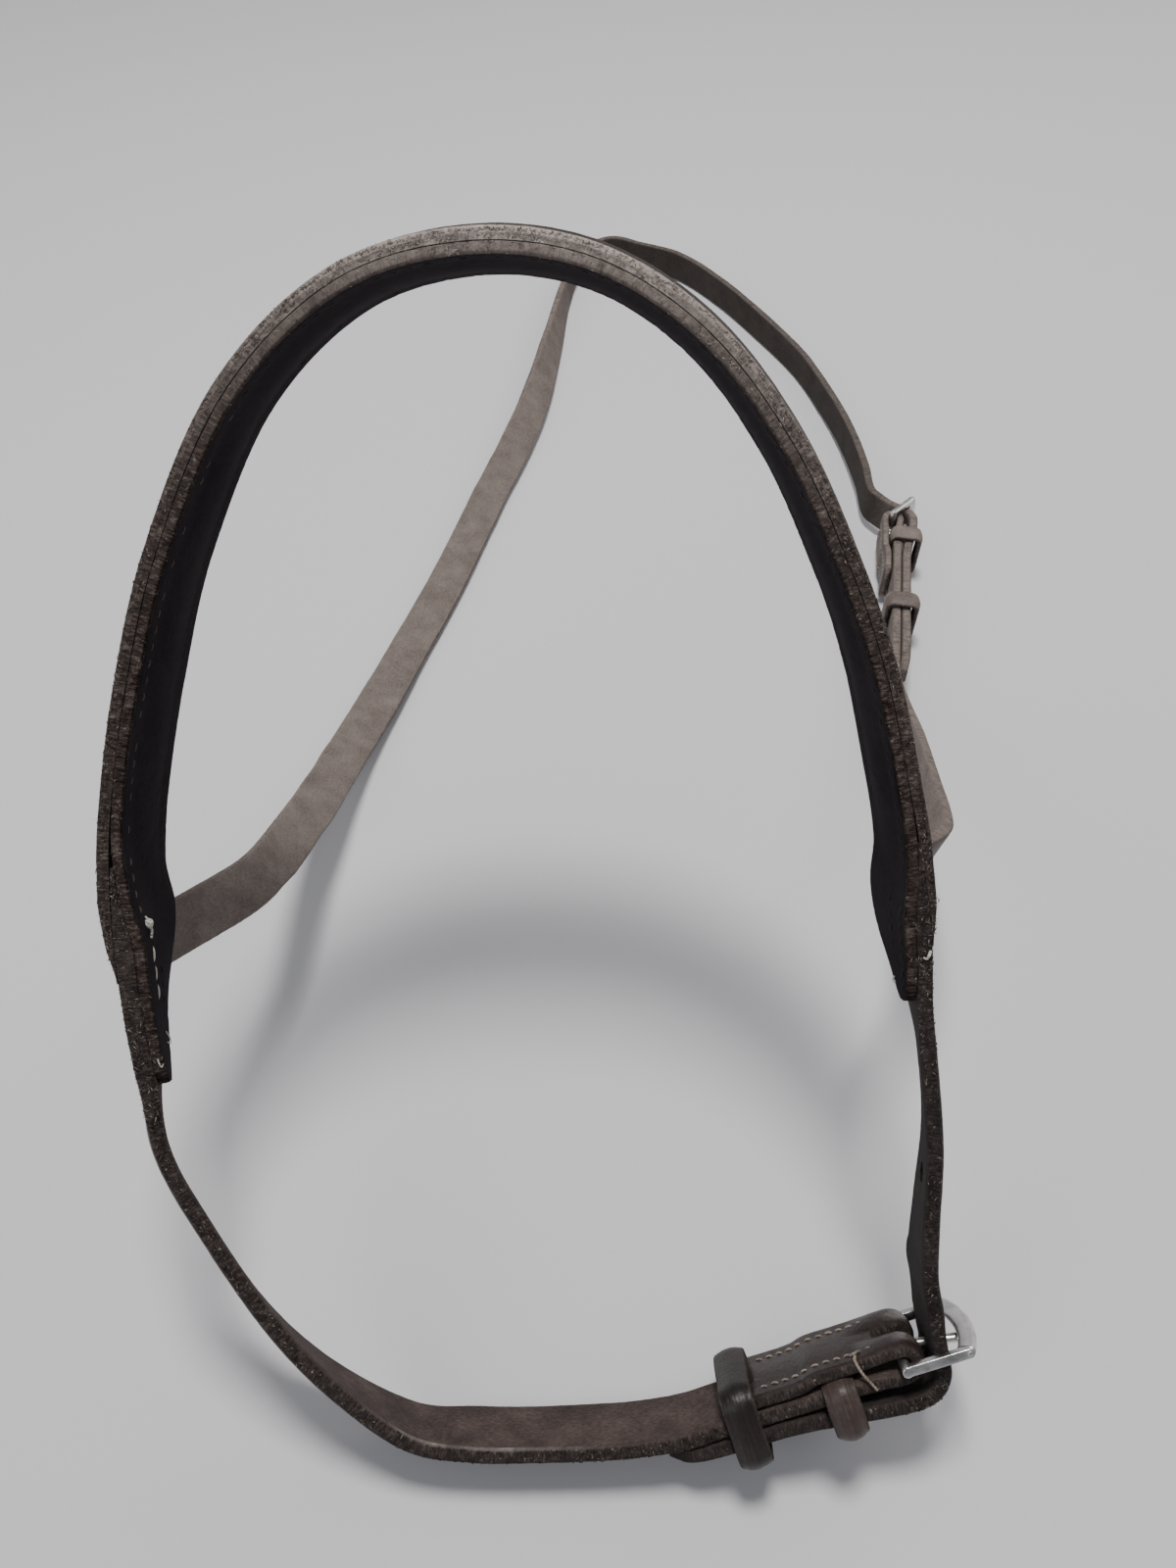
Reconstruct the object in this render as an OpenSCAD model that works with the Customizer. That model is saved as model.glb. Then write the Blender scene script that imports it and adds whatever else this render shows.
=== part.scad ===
// Leather cavesson noseband: a padded two-layer nosepiece, a chin strap with
// its own buckle, and a head strap that closes at a second buckle.
// Units are millimetres, +Z is up and the piece rests on the plane Z = 0.

/* [Nosepiece] */
// width of the nosepiece
nose_w = 30; // [28:0.5:32]
// thickness of the outer leather layer
nose_outer_t = 2.4; // [2:0.1:2.6]
// thickness of the lining layer
nose_lining_t = 2.2; // [1.8:0.1:2.4]
// how far the padding raises the outer layer
nose_raise = 2.2; // [1.2:0.1:3]
// distance of the seam from the edge
seam_margin = 3.6; // [3:0.1:4.4]

/* [Chin strap] */
// width of both chin straps
chin_w = 16; // [15.6:0.1:16.4]
// thickness of both chin straps
chin_t = 3.2; // [2.8:0.1:3.3]
// thickness of the chin strap where it folds round the buckle
chin_fold_t = 2.6; // [2.2:0.1:2.6]

/* [Head strap] */
// width of the head strap and of the cheek strap
head_w = 12.5; // [12.2:0.1:12.8]
// thickness of the head strap and of the cheek strap
head_t = 3; // [2.6:0.1:3]
// thickness of the cheek strap where it folds round the buckle
head_fold_t = 2.4; // [2:0.1:2.4]

/* [Buckles] */
// radius of the heel bar
bar_r = 1.1; // [1:0.05:1.15]
// half height of the side bars
rim_r = 1; // [0.95:0.05:1.15]
// length of the chin buckle's side bars between their pins
chin_side = 12.4; // [12:0.1:13]
// length of the head buckle's side bars between their pins
head_side = 10.8; // [10.6:0.1:11.4]
// how far the end bow stands out past the side bars
bow = 2; // [1.6:0.1:2.4]
// radius of the tongue wire
tongue_r = 0.95; // [0.8:0.05:1]
// leather thickness of the keepers
keeper_t = 1.8; // [1.4:0.1:1.9]
// width of the keepers along the strap
keeper_len = 6.6; // [5.6:0.1:7]

/* [Hidden] */
$fn = 48;

leather = [0.17, 0.13, 0.11];
flesh = [0.36, 0.31, 0.27];
thread = [0.75, 0.72, 0.66];
steel = [0.78, 0.78, 0.77];
foam = [0.45, 0.42, 0.40];

// --- small vector helpers
function unit(v) = v / norm(v);
function ortho(w, t) = unit(w - (w * t) * t);
function lerp(a, b, f) = a + (b - a) * f;

// --- the ring of nosepiece and chin strap lies in one leaning plane
tilt = 49;
rest_o = [2.66, 1.44, -0.28];
ring_o = [-29, -258, 14] + rest_o;
function ring(x, l) = ring_o + [x, l * cos(tilt), l * sin(tilt)];
w_left = unit([-8, 81, -59]);
w_top = unit([0, 84, -54]);
w_right = unit([0, 81, -58]);

// --- buckle frames of reference: s along the strap, w across it, n outward
chin_o = ring(74.5, 19.8);
chin_a = 19;
chin_s = [cos(chin_a), sin(chin_a) * cos(tilt), sin(chin_a) * sin(tilt)];
chin_wv = ortho([0, 66, -75], chin_s);
chin_n = cross(chin_wv, chin_s);
function cp(s, n, w = 0) = chin_o + s * chin_s + n * chin_n + w * chin_wv;

head_a = 80;
head_o = [93, 38, 15.8] + rest_o;
head_s = [cos(head_a), sin(head_a), 0];
head_wv = [0, 0, -1];
head_n = cross(head_wv, head_s);
head_swing = 35;
function hp(s, n, w = 0) = head_o + s * head_s + n * head_n + w * head_wv;

// --- Catmull-Rom through stations; each station is a flat list of numbers
function crp(a, b, c, d, f) =
  0.5 * (2 * b + (c - a) * f + (2 * a - 5 * b + 4 * c - d) * f * f
         + (3 * b - a - 3 * c + d) * f * f * f);
function spline(S, k) = let (m = len(S) - 1)
  concat([for (i = [0 : m - 1], j = [0 : k - 1])
            crp(i > 0 ? S[i - 1] : 2 * S[0] - S[1], S[i], S[i + 1],
                i + 2 <= m ? S[i + 2] : 2 * S[m] - S[m - 1], j / k)], [S[m]]);

function pos(q) = [q[0], q[1], q[2]];
function wid(q) = [q[3], q[4], q[5]];
function tang(Q, i) = let (m = len(Q) - 1)
  unit(pos(Q[min(i + 1, m)]) - pos(Q[max(i - 1, 0)]));

// --- skin between equal rings of points, closed with a fan at each end
module skin(R) {
  m = len(R); c = len(R[0]);
  mid = function (r) [for (k = [0 : 2]) [for (p = r) p[k]] * [for (p = r) 1 / c]];
  polyhedron(
    points = concat([for (r = R) each r], [mid(R[0]), mid(R[m - 1])]),
    faces = concat(
      [for (i = [0 : m - 2], j = [0 : c - 1])
         [i * c + j, (i + 1) * c + j, i * c + (j + 1) % c]],
      [for (i = [0 : m - 2], j = [0 : c - 1])
         [i * c + (j + 1) % c, (i + 1) * c + j, (i + 1) * c + (j + 1) % c]],
      [for (j = [0 : c - 1]) [m * c, j, (j + 1) % c]],
      [for (j = [0 : c - 1]) [m * c + 1, (m - 1) * c + (j + 1) % c, (m - 1) * c + j]]),
    convexity = 8);
}

// --- flat strap: station = [x,y,z, wx,wy,wz, width, thickness, offset]
// lead is where the strap starts across its width, as a share of the width
function strap_ring(Q, i, lead) =
  let (q = Q[i], t = tang(Q, i), b = ortho(wid(q), t), n = cross(t, b),
       W = q[6], h = q[7] / 2, e = min(0.5, h * 0.45), a = -lead * W, o = pos(q) + q[8] * n)
  [for (p = [[a, -h + e], [a + e, -h], [a + W - e, -h], [a + W, -h + e],
             [a + W, h - e], [a + W - e, h], [a + e, h], [a, h - e]])
     o + p[0] * b + p[1] * n];
module strap(S, k, lead = 0) {
  Q = spline(S, k);
  skin([for (i = [len(Q) - 1 : -1 : 0]) strap_ring(Q, i, lead)]);
}

// --- thread laid along a strap at distance a from its edge, on face height c
function thread_ring(Q, i, a) =
  let (q = Q[i], t = tang(Q, i), b = ortho(wid(q), t), n = cross(t, b), o = pos(q) + a * b + q[8] * n)
  [for (p = [[-0.4, -0.2], [0.4, -0.2], [0.4, 0.2], [-0.4, 0.2]]) o + p[0] * b + p[1] * n];
module thread_run(S, k, a) {
  Q = spline(S, k);
  skin([for (i = [len(Q) - 1 : -1 : 0]) thread_ring(Q, i, a)]);
}

// ---------------------------------------------------------------- nosepiece
// [x, l, width share, gap to outer layer, gap to lining, padding share, twist]
nose_line = [
  [-70.2, 75, 0.36, 0.3, -3.1, 0, -0.26], [-71.9, 86, 0.66, 0.3, -3.1, 0, -0.2],
  [-72.8, 95, 0.93, 0.3, -3.1, 0, -0.14], [-73.4, 104, 1, 0.3, -3.1, 0, -0.1],
  [-73.5, 114, 1, 0.2, -1.2, 0.3, -0.08], [-72.8, 127, 1, 0.05, -0.05, 1, -0.02],
  [-69, 149, 1, 0.05, -0.05, 1, 0], [-62, 174, 1, 0.05, -0.05, 1, 0],
  [-49, 201, 1, 0.05, -0.05, 1, 0], [-30, 219, 1, 0.05, -0.05, 1, 0],
  [-8, 225.5, 1, 0.05, -0.05, 1, 0], [14, 223, 1, 0.05, -0.05, 1, 0],
  [33, 211.5, 1, 0.05, -0.05, 1, 0], [48, 193, 1, 0.05, -0.05, 1, 0],
  [59, 171, 1, 0.05, -0.05, 1, 0], [66, 152, 1, 0.05, -0.05, 1, 0],
  [71, 131, 1, 0.05, -0.05, 1, 0], [73.3, 119, 1, 0.25, -0.6, 0.3, 0.02],
  [74.3, 109, 1, 1.2, -1.6, 0, 0.04], [75, 100, 0.86, 1.2, -1.6, 0, 0.06],
  [75.5, 92, 0.45, 1.2, -1.6, 0, 0.08]];
function nose_wv(f) = f < 0.5 ? lerp(w_left, w_top, f * 2) : lerp(w_top, w_right, f * 2 - 1);
nose_st = [for (i = [0 : len(nose_line) - 1])
  let (q = nose_line[i], f = i / (len(nose_line) - 1))
  concat(ring(q[0], q[1]), unit(nose_wv(f) + [q[6], 0, 0]), [nose_w * q[2], q[3], q[4], q[5]])];
nose_k = 5;
nose_q = spline(nose_st, nose_k);
nose_m = len(nose_q) - 1;

// height of the padded swell across the width, flat along both seams
function swell(a, W) = let (m = 5.5, f = (a - m) / max(W - 2 * m, 1))
  f <= 0 || f >= 1 ? 0 : pow(sin(180 * f), 1.2);
across = [0, 0.1, 0.2, 0.28, 0.38, 0.5, 0.62, 0.72, 0.8, 0.9, 1];

// one layer between two heights over the width; e rounds its edges
function layer_ring(i, lo, dlo, hi, dhi) =
  let (q = nose_q[i], t = tang(nose_q, i), b = ortho(wid(q), t), n = cross(t, b), W = q[6], o = pos(q), r = 0.4)
  concat([for (f = across) let (a = f * W, x = f == 0 ? r : f == 1 ? W - r : a)
            o + x * b + (lo + dlo * swell(a, W)) * n],
         [for (g = across) let (f = 1 - g, a = f * W, e = f == 0 || f == 1 ? r : 0)
            o + a * b + (hi + dhi * swell(a, W) - e) * n]);

// the outer layer is skived thin towards both of its ends
function clamp(x) = min(max(x, 0), 1);
function outer_t(i) = nose_outer_t * (1 - 0.75 * clamp((19 - i) / 8) - 0.75 * clamp((i - nose_m + 17) / 10));
module nose_band() color(leather)
  skin([for (i = [nose_m - 7 : -1 : 11]) let (q = nose_q[i])
    layer_ring(i, q[7], q[9] * nose_raise, q[7] + outer_t(i), q[9] * nose_raise)]);

module nose_lining() color(flesh)
  skin([for (i = [nose_m : -1 : 0]) let (q = nose_q[i])
    layer_ring(i, q[8] - nose_lining_t, -q[9] * 0.6, q[8], -q[9] * 0.6)]);

pad_across = [0.22, 0.3, 0.4, 0.5, 0.6, 0.7, 0.78];
function pad_ring(i) =
  let (q = nose_q[i], t = tang(nose_q, i), b = ortho(wid(q), t), n = cross(t, b), W = q[6], o = pos(q), g = 0.02)
  concat([for (f = pad_across) o + f * W * b + (-0.6 * swell(f * W, W) + g) * n],
         [for (h = pad_across) let (f = 1 - h) o + f * W * b + (nose_raise * swell(f * W, W) - g) * n]);
module nose_padding() color(foam)
  skin([for (i = [nose_m - 19 : -1 : 26]) pad_ring(i)]);

// seams: one run on the outer face and one on the lining face
function seam(i0, i1, out) = [for (i = [i0 : i1]) let (q = nose_q[i])
  concat(pos(q), wid(q), [0, 0, out ? q[7] + outer_t(i) + 0.4 : q[8] - nose_lining_t - 0.4])];
function far_a(q) = q[6] - seam_margin;
function seam_far(i0, i1, out) = [for (i = [i0 : i1])
  let (q = nose_q[i], b = ortho(wid(q), tang(nose_q, i)))
  concat(pos(q) + far_a(q) * b, wid(q), [0, 0, out ? q[7] + outer_t(i) + 0.4 : q[8] - nose_lining_t - 0.4])];

module nose_stitching_near() color(thread) {
  thread_run(seam(18, nose_m - 14, true), 1, seam_margin);
  thread_run(seam(18, nose_m - 14, false), 1, seam_margin);
}
module nose_stitching_far() color(thread) {
  thread_run(seam_far(18, nose_m - 14, true), 1, 0);
  thread_run(seam_far(18, nose_m - 14, false), 1, 0);
}
module left_joint_stitching() color(thread) {
  thread_run(seam(3, 16, false), 1, seam_margin);
  thread_run(seam(12, 16, true), 1, seam_margin);
  thread_run(seam(7, 16, false), 1, 13);
}
module right_joint_stitching() color(thread) {
  thread_run(seam(nose_m - 12, nose_m - 2, false), 1, seam_margin);
  thread_run(seam(nose_m - 12, nose_m - 8, true), 1, seam_margin);
  thread_run(seam(nose_m - 12, nose_m - 5, false), 1, 13);
}

// --------------------------------------------------------------- chin strap
c_in = 3.3;                     // thickness of the left strap end inside its joint
b_in = 2.7;                     // thickness of the right strap end inside its joint
c_main = 0.25 + chin_t / 2;     // height of the buckle strap beside the keepers
c_rad = bar_r + 0.35 + chin_fold_t / 2;
c_tuck = 1.15 + chin_fold_t / 2;
c_back = 0.2 + chin_fold_t / 2;
c_bil = 5.3;                     // height of the billet along the buckle strap

function rs(x, l, w, t, c = 0) = concat(ring(x, l), unit(w), [chin_w, t, c]);
function cs(s, n, t) = concat(cp(s, n), chin_wv, [chin_w, t, 0]);
// strap end tucked between the layers of the nosepiece, skived thin where they close
function tuck(q, t, c) = concat(pos(q), wid(q), [chin_w, t, c]);

chin_strap_st = concat(
  [tuck(nose_q[22], 0.6, 0.25), tuck(nose_st[4], 1.2, 0.5),
   for (i = [3 : -1 : 0]) tuck(nose_st[i], c_in, 1.4),
   rs(-66.8, 62, [-44, 57, -70], chin_t, 0.4), rs(-59, 47, [-44, 51, -74], chin_t),
   rs(-48, 28.5, [-40, 47, -79], chin_t), rs(-36.5, 14.5, [-28, 50, -82], chin_t),
   rs(-22.5, 3, [-10, 59, -80], chin_t), rs(-10, 0.3, [0, 66, -75], chin_t),
   rs(2, 0.2, [2, 66, -75], chin_t), rs(13, 0.5, [4, 67, -74], chin_t),
   rs(22, 1.2, [4, 67, -74], chin_t)],
  [cs(-46, c_main, chin_t), cs(-38, c_main, chin_t), cs(-30, c_main, chin_t),
   cs(-20, c_main, chin_t), cs(-12, c_main, chin_t), cs(-6, c_main + 0.3, chin_t - 0.2),
   cs(-2.5, c_rad - 0.1, chin_fold_t + 0.1)],
  [for (g = [0 : 22.5 : 180]) cs(c_rad * sin(g), c_rad * cos(g), chin_fold_t)],
  [cs(-3, -c_rad, chin_fold_t), cs(-7, -c_tuck - 0.1, chin_fold_t), cs(-11, -c_tuck, chin_fold_t),
   cs(-17, -c_tuck, chin_fold_t), cs(-20, -c_back - 0.25, chin_fold_t), cs(-23, -c_back, chin_fold_t),
   cs(-27, -c_back, chin_fold_t), cs(-31, -c_back, chin_fold_t)]);

chin_billet_st = concat(
  [tuck(nose_q[nose_m - 17], 0.35, -0.11), tuck(nose_st[17], 0.75, -0.18),
   for (i = [18 : 20]) tuck(nose_st[i], b_in, -0.2),
   rs(76.6, 80, [20, 74, -64], chin_t, 0), rs(78.3, 64, [20, 74, -64], chin_t),
   rs(78.4, 49, [14, 75, -65], chin_t), rs(78.7, 38, [8, 78, -61], chin_t)],
  [cs(9, -8, chin_t), cs(7.9, -3.5, chin_t), cs(7.2, 0.8, chin_t), cs(6.6, 4.2, chin_t),
   cs(4.4, 6.9, chin_t), cs(1, 8, chin_t), cs(-4, 7.8, chin_t), cs(-10, 7.1, chin_t),
   cs(-17, 6.2, chin_t), cs(-24, 5.5, chin_t), cs(-32, c_bil, chin_t), cs(-40, c_bil, chin_t)],
  [concat(cp(-46, c_bil, 1.2), chin_wv, [chin_w - 2.4, chin_t, 0]),
   concat(cp(-50, c_bil - 0.2, 4.5), chin_wv, [chin_w - 9, chin_t - 0.4, 0])]);

// local placing: x along the strap, y across it, z outward
module at_chin() multmatrix([
  [chin_s[0], chin_wv[0], -chin_n[0], chin_o[0]],
  [chin_s[1], chin_wv[1], -chin_n[1], chin_o[1]],
  [chin_s[2], chin_wv[2], -chin_n[2], chin_o[2]], [0, 0, 0, 1]]) children();
module at_head() multmatrix([
  [head_s[0], head_wv[0], -head_n[0], head_o[0]],
  [head_s[1], head_wv[1], -head_n[1], head_o[1]],
  [head_s[2], head_wv[2], -head_n[2], head_o[2]], [0, 0, 0, 1]]) children();

// slot in a fold for the tongue
module tongue_slot(W) translate([-5, W / 2 - 2.2, -6]) cube([12, 4.4, 12]);
// long hole in a billet that the tongue passes through
module tongue_hole(W) translate([2, W / 2, 0]) {
  translate([0, 0, -1.2]) rotate([0, 90, 0]) cylinder(r = 1.8, h = 11);
  translate([0, 0, -3.2]) rotate([0, 90, 0]) cylinder(r = 1.8, h = 11);
  translate([0, -1.8, -3.2]) cube([11, 3.6, 2]);
}

module chin_buckle_strap() color(leather) difference() {
  strap(chin_strap_st, 4);
  at_chin() tongue_slot(chin_w);
}
module chin_billet() color(leather) difference() {
  strap(chin_billet_st, 4);
  at_chin() tongue_hole(chin_w);
  at_chin() translate([-24, chin_w / 2, -12]) cylinder(r = 2, h = 10);
  translate(ring(78.4, 56) + 8 * unit([17, 74, -64])) rotate([0, 90, 0]) cylinder(r = 2, h = 14, center = true);
}

// ------------------------------------------------------------------ buckles
bow_r = 1.05;                    // half thickness of the end bow
// frame: heel bar on the local y axis, two flat side bars pinned to it and a
// broad rounded bow across the far end
module buckle_frame(W, L) {
  y0 = -1.6; y1 = W + 1.6; half = (y1 - y0) / 2;
  R = half * half / (2 * bow) + bow / 2; g = asin(half / R);
  translate([0, y0 - 0.95, 0]) rotate([-90, 0, 0]) cylinder(r = bar_r, h = y1 - y0 + 1.9);
  for (y = [y0, y1]) {
    translate([0, y - 0.8, -rim_r]) cube([L, 1.6, 2 * rim_r]);
    for (x = [0, L]) translate([x, y - 0.8, 0]) rotate([-90, 0, 0]) cylinder(r = rim_r, h = 1.6);
    translate([L, y - 0.9, 0]) rotate([-90, 0, 0]) cylinder(r = 0.55, h = 1.8);
  }
  translate([L + bow - R, W / 2, 0]) rotate([0, 0, -g]) rotate_extrude(angle = 2 * g, $fn = 96)
    translate([R - 0.6, 0]) {
      square([1.5, 2 * bow_r], center = true);
      for (x = [-0.75, 0.75]) translate([x, 0]) circle(r = bow_r);
    }
}
// tongue: an eye round the heel bar and a shank resting over the end bow
module buckle_tongue(W, L) {
  lift = bow_r + tongue_r + 0.45; reach = L + bow;
  translate([0, W / 2, 0]) rotate([0, asin(lift / reach), 0]) {
    rotate([90, 0, 0]) rotate_extrude() translate([bar_r + 0.08 + 0.8, 0]) circle(r = 0.8);
    translate([bar_r + 0.9, 0, 0]) rotate([0, 90, 0]) cylinder(r = tongue_r, h = reach - bar_r - 1.3);
    translate([reach - 0.4, 0, 0]) sphere(r = tongue_r);
  }
}
// leather loop with square inside from z0 to z1, inner wall may be thinner
module keeper(W, x, z0, z1, t0) {
  y0 = -0.45; y1 = W + 0.45; t = keeper_t;
  difference() {
    translate([x - keeper_len / 2, y0 - t, z0 - t0]) cube([keeper_len, y1 - y0 + 2 * t, z1 - z0 + t0 + t]);
    translate([x - keeper_len / 2 - 1, y0, z0]) cube([keeper_len + 2, y1 - y0, z1 - z0]);
    for (y = [y0 - t, y1 + t]) translate([x, y, z1 + t]) rotate([45, 0, 0]) cube([keeper_len + 2, 1.6, 1.6], center = true);
    for (y = [y0 - t, y1 + t]) translate([x, y, z0 - t0]) rotate([45, 0, 0]) cube([keeper_len + 2, 1.1, 1.1], center = true);
  }
}

module chin_buckle_frame() color(steel) at_chin() buckle_frame(chin_w, chin_side);
module chin_buckle_tongue() color(steel) at_chin() buckle_tongue(chin_w, chin_side);
module chin_fixed_keeper() color(leather) at_chin() mirror([0, 0, 1]) keeper(chin_w, -13.6, 0.15, 8.9, 1.1);
module chin_running_keeper() color(leather) at_chin() mirror([0, 0, 1]) keeper(chin_w, -33.2, -3.9, 9.2, keeper_t);

back_run = [cs(-5.5, -c_tuck - 0.05, 0), cs(-11, -c_tuck, 0), cs(-17, -c_tuck, 0),
            cs(-20, -c_back - 0.25, 0), cs(-23, -c_back, 0), cs(-29, -c_back, 0)];
function lifted(S, h) = [for (q = S) [q[0], q[1], q[2], q[3], q[4], q[5], 0, 0, h]];
module chin_stitching() color(thread) {
  thread_run(lifted(back_run, -chin_fold_t / 2 - 0.4), 4, 3);
  thread_run(lifted(back_run, -chin_fold_t / 2 - 0.4), 4, chin_w - 3);
}

// --------------------------------------------------------------- head strap
h_main = 0.25 + head_t / 2;
h_rad = bar_r + 0.35 + head_fold_t / 2;
h_tuck = 1.15 + head_fold_t / 2;
h_back = 0.2 + head_fold_t / 2;
h_bil = 4.9;
function hx(p, w, t = head_t) = concat(p, unit(w), [head_w, t, 0]);
function hg(p, w) = hx(p + rest_o, w);
function hs(s, n, t) = concat(hp(s, n, head_w / 2), -head_wv, [head_w, t, 0]);

left_in = ring(-70.5, 92);
right_in = ring(74.47, 103);
right_t = 2.6;                   // cheek strap end skived to fit its joint
left_dir = unit(ring(-73.4, 104) - ring(-72, 88));
right_dir = unit(ring(74.3, 109) - ring(75.5, 92));
left_wv = unit(wid(nose_st[1]) + wid(nose_st[2]));
right_wv = unit(wid(nose_st[18]) + 2 * wid(nose_st[19]));
// the strap ends twist with the layers that hold them, per mm of depth
left_tw = (wid(nose_st[3]) - wid(nose_st[1])) / norm(pos(nose_st[3]) - pos(nose_st[1]));
right_tw = (wid(nose_st[18]) - wid(nose_st[20])) / norm(pos(nose_st[18]) - pos(nose_st[20]));

head_strap_st = concat(
  [for (d = [17.5, 24, 30]) hx(left_in + d * left_wv, left_dir + d * left_tw),
   hx(left_in + 35 * left_wv, [-7, 64, 76])],
  [hg([-103.5, -158.5, 55.5], [-18, 58, 78]), hg([-96.5, -137, 41], [-45, 42, 78]),
   hg([-93, -105, 24], [-78, 20, 60]), hg([-88, -66, 9], [-90, 20, 36]),
   hg([-78, -26, 4.2], [-92, 30, 20]), hg([-65, 20, 3.4], [-93, 32, 20]),
   hg([-53.5, 66, 4], [-90, 28, 30]), hg([-39.5, 119, 6], [-75, 25, 60]),
   hg([-31.5, 172, 7], [-40, 10, 90]), hg([-26.5, 214, 7], [-10, 0, 99]),
   hg([-20, 243, 7], [0, 0, 1]), hg([-6, 257, 7], [0, 0, 1]), hg([10, 251, 7], [0, 0, 1]),
   hg([28, 240, 7], [0, 0, 1]), hg([45, 216, 7], [0, 0, 1]), hg([60, 187, 7], [0, 0, 1]),
   hg([74, 155, 7], [0, 0, 1]), hg([82.5, 121, 7.6], [0, 0, 1]), hg([86.5, 95, 8.4], [0, 0, 1]),
   hg([88, 72, 9.2], [0, 0, 1])],
  [hs(17, -8.3, head_t), hs(11.5, -4.5, head_t), hs(8, -0.5, head_t), hs(5.7, 4, head_t),
   hs(2.5, 6.8, head_t), hs(-2, 7.2, head_t), hs(-8, 6.5, head_t), hs(-14, 5.5, head_t),
   hs(-22, h_bil, head_t), hs(-36, h_bil, head_t), hs(-50, h_bil, head_t), hs(-64, h_bil, head_t)],
  [concat(hp(-70, h_bil, head_w / 2), -head_wv, [head_w - 2, head_t, 0]),
   concat(hp(-74.5, h_bil - 0.2, head_w / 2), -head_wv, [head_w - 7, head_t - 0.4, 0])]);

cheek_strap_st = concat(
  [for (d = [17.5, 24, 30]) hx(right_in + d * right_wv, right_dir + d * right_tw, right_t),
   hg([48.6, -161.5, 71.4], [5, 66, 75]),
   hg([52, -157, 69.4], [20, 62, 75]), hg([57, -151.5, 66], [40, 54, 73]),
   hg([62.5, -143, 59.5], [52, 48, 70]), hg([67.5, -131, 50], [55, 45, 70]),
   hg([73, -104, 35], [40, 25, 88]), hg([77.5, -79, 22.5], [20, 8, 97]),
   hg([79.8, -58, 13.5], [5, 2, 99])],
  [hs(-80, h_main, head_t), hs(-64, h_main, head_t), hs(-48, h_main, head_t),
   hs(-32, h_main, head_t), hs(-18, h_main, head_t), hs(-10, h_main, head_t),
   hs(-5.5, h_main + 0.3, head_t - 0.2), hs(-2.5, h_rad - 0.1, head_fold_t + 0.1)],
  [for (g = [0 : 22.5 : 180]) hs(h_rad * sin(g), h_rad * cos(g), head_fold_t)],
  [hs(-3, -h_rad, head_fold_t), hs(-6, -h_tuck - 0.1, head_fold_t), hs(-10, -h_tuck, head_fold_t),
   hs(-15, -h_tuck, head_fold_t), hs(-18, -h_back - 0.25, head_fold_t), hs(-21, -h_back, head_fold_t),
   hs(-25, -h_back, head_fold_t), hs(-29, -h_back, head_fold_t)]);

module head_strap() color(leather) difference() {
  strap(head_strap_st, 4, 0.5);
  at_head() rotate([0, head_swing, 0]) tongue_hole(head_w);
  for (x = [-22, -52]) at_head() translate([x, head_w / 2, -12]) cylinder(r = 1.8, h = 10);
}
module cheek_strap() color(leather) difference() {
  strap(cheek_strap_st, 4, 0.5);
  at_head() tongue_slot(head_w);
}
module head_buckle_frame() color(steel) at_head() rotate([0, head_swing, 0]) buckle_frame(head_w, head_side);
module head_buckle_tongue() color(steel) at_head() rotate([0, head_swing, 0]) buckle_tongue(head_w, head_side);
module head_fixed_keeper() color(leather) at_head() mirror([0, 0, 1]) keeper(head_w, -10.4, 0.15, 8.4, 1.1);
module head_running_keeper() color(leather) at_head() mirror([0, 0, 1]) keeper(head_w, -46, -0.5, 7.4, keeper_t);

head_run = [hs(-5, -h_tuck - 0.05, 0), hs(-10, -h_tuck, 0), hs(-15, -h_tuck, 0),
            hs(-18, -h_back - 0.25, 0), hs(-21, -h_back, 0), hs(-27, -h_back, 0)];
module head_stitching() color(thread) {
  thread_run(lifted(head_run, head_fold_t / 2 + 0.4), 4, 3.4);
  thread_run(lifted(head_run, head_fold_t / 2 + 0.4), 4, -3.4);
}

nose_band();
nose_lining();
nose_padding();
nose_stitching_near();
nose_stitching_far();
left_joint_stitching();
right_joint_stitching();
chin_buckle_strap();
chin_billet();
chin_buckle_frame();
chin_buckle_tongue();
chin_fixed_keeper();
chin_running_keeper();
chin_stitching();
cheek_strap();
head_strap();
head_buckle_frame();
head_buckle_tongue();
head_fixed_keeper();
head_running_keeper();
head_stitching();
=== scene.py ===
import math
import bpy
import numpy as np
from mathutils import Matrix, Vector, kdtree


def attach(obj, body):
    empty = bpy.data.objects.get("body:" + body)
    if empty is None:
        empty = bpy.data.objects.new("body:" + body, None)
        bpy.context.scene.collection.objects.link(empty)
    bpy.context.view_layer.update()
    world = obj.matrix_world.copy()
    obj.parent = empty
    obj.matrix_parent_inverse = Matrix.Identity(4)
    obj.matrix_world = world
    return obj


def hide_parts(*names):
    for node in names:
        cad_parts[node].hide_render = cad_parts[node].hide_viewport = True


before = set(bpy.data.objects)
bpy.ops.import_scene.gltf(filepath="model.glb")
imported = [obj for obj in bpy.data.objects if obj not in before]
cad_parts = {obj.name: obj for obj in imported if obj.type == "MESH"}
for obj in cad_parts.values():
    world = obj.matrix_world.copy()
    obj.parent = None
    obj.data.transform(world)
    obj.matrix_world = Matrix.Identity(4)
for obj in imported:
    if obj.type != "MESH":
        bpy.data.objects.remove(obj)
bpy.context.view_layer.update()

MM = 0.001


# ------------------------------------------------------------------ helpers
def unit(v):
    v = np.asarray(v, float)
    return v / np.linalg.norm(v)


def ortho(w, t):
    return unit(np.asarray(w, float) - np.dot(w, t) * t)


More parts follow.
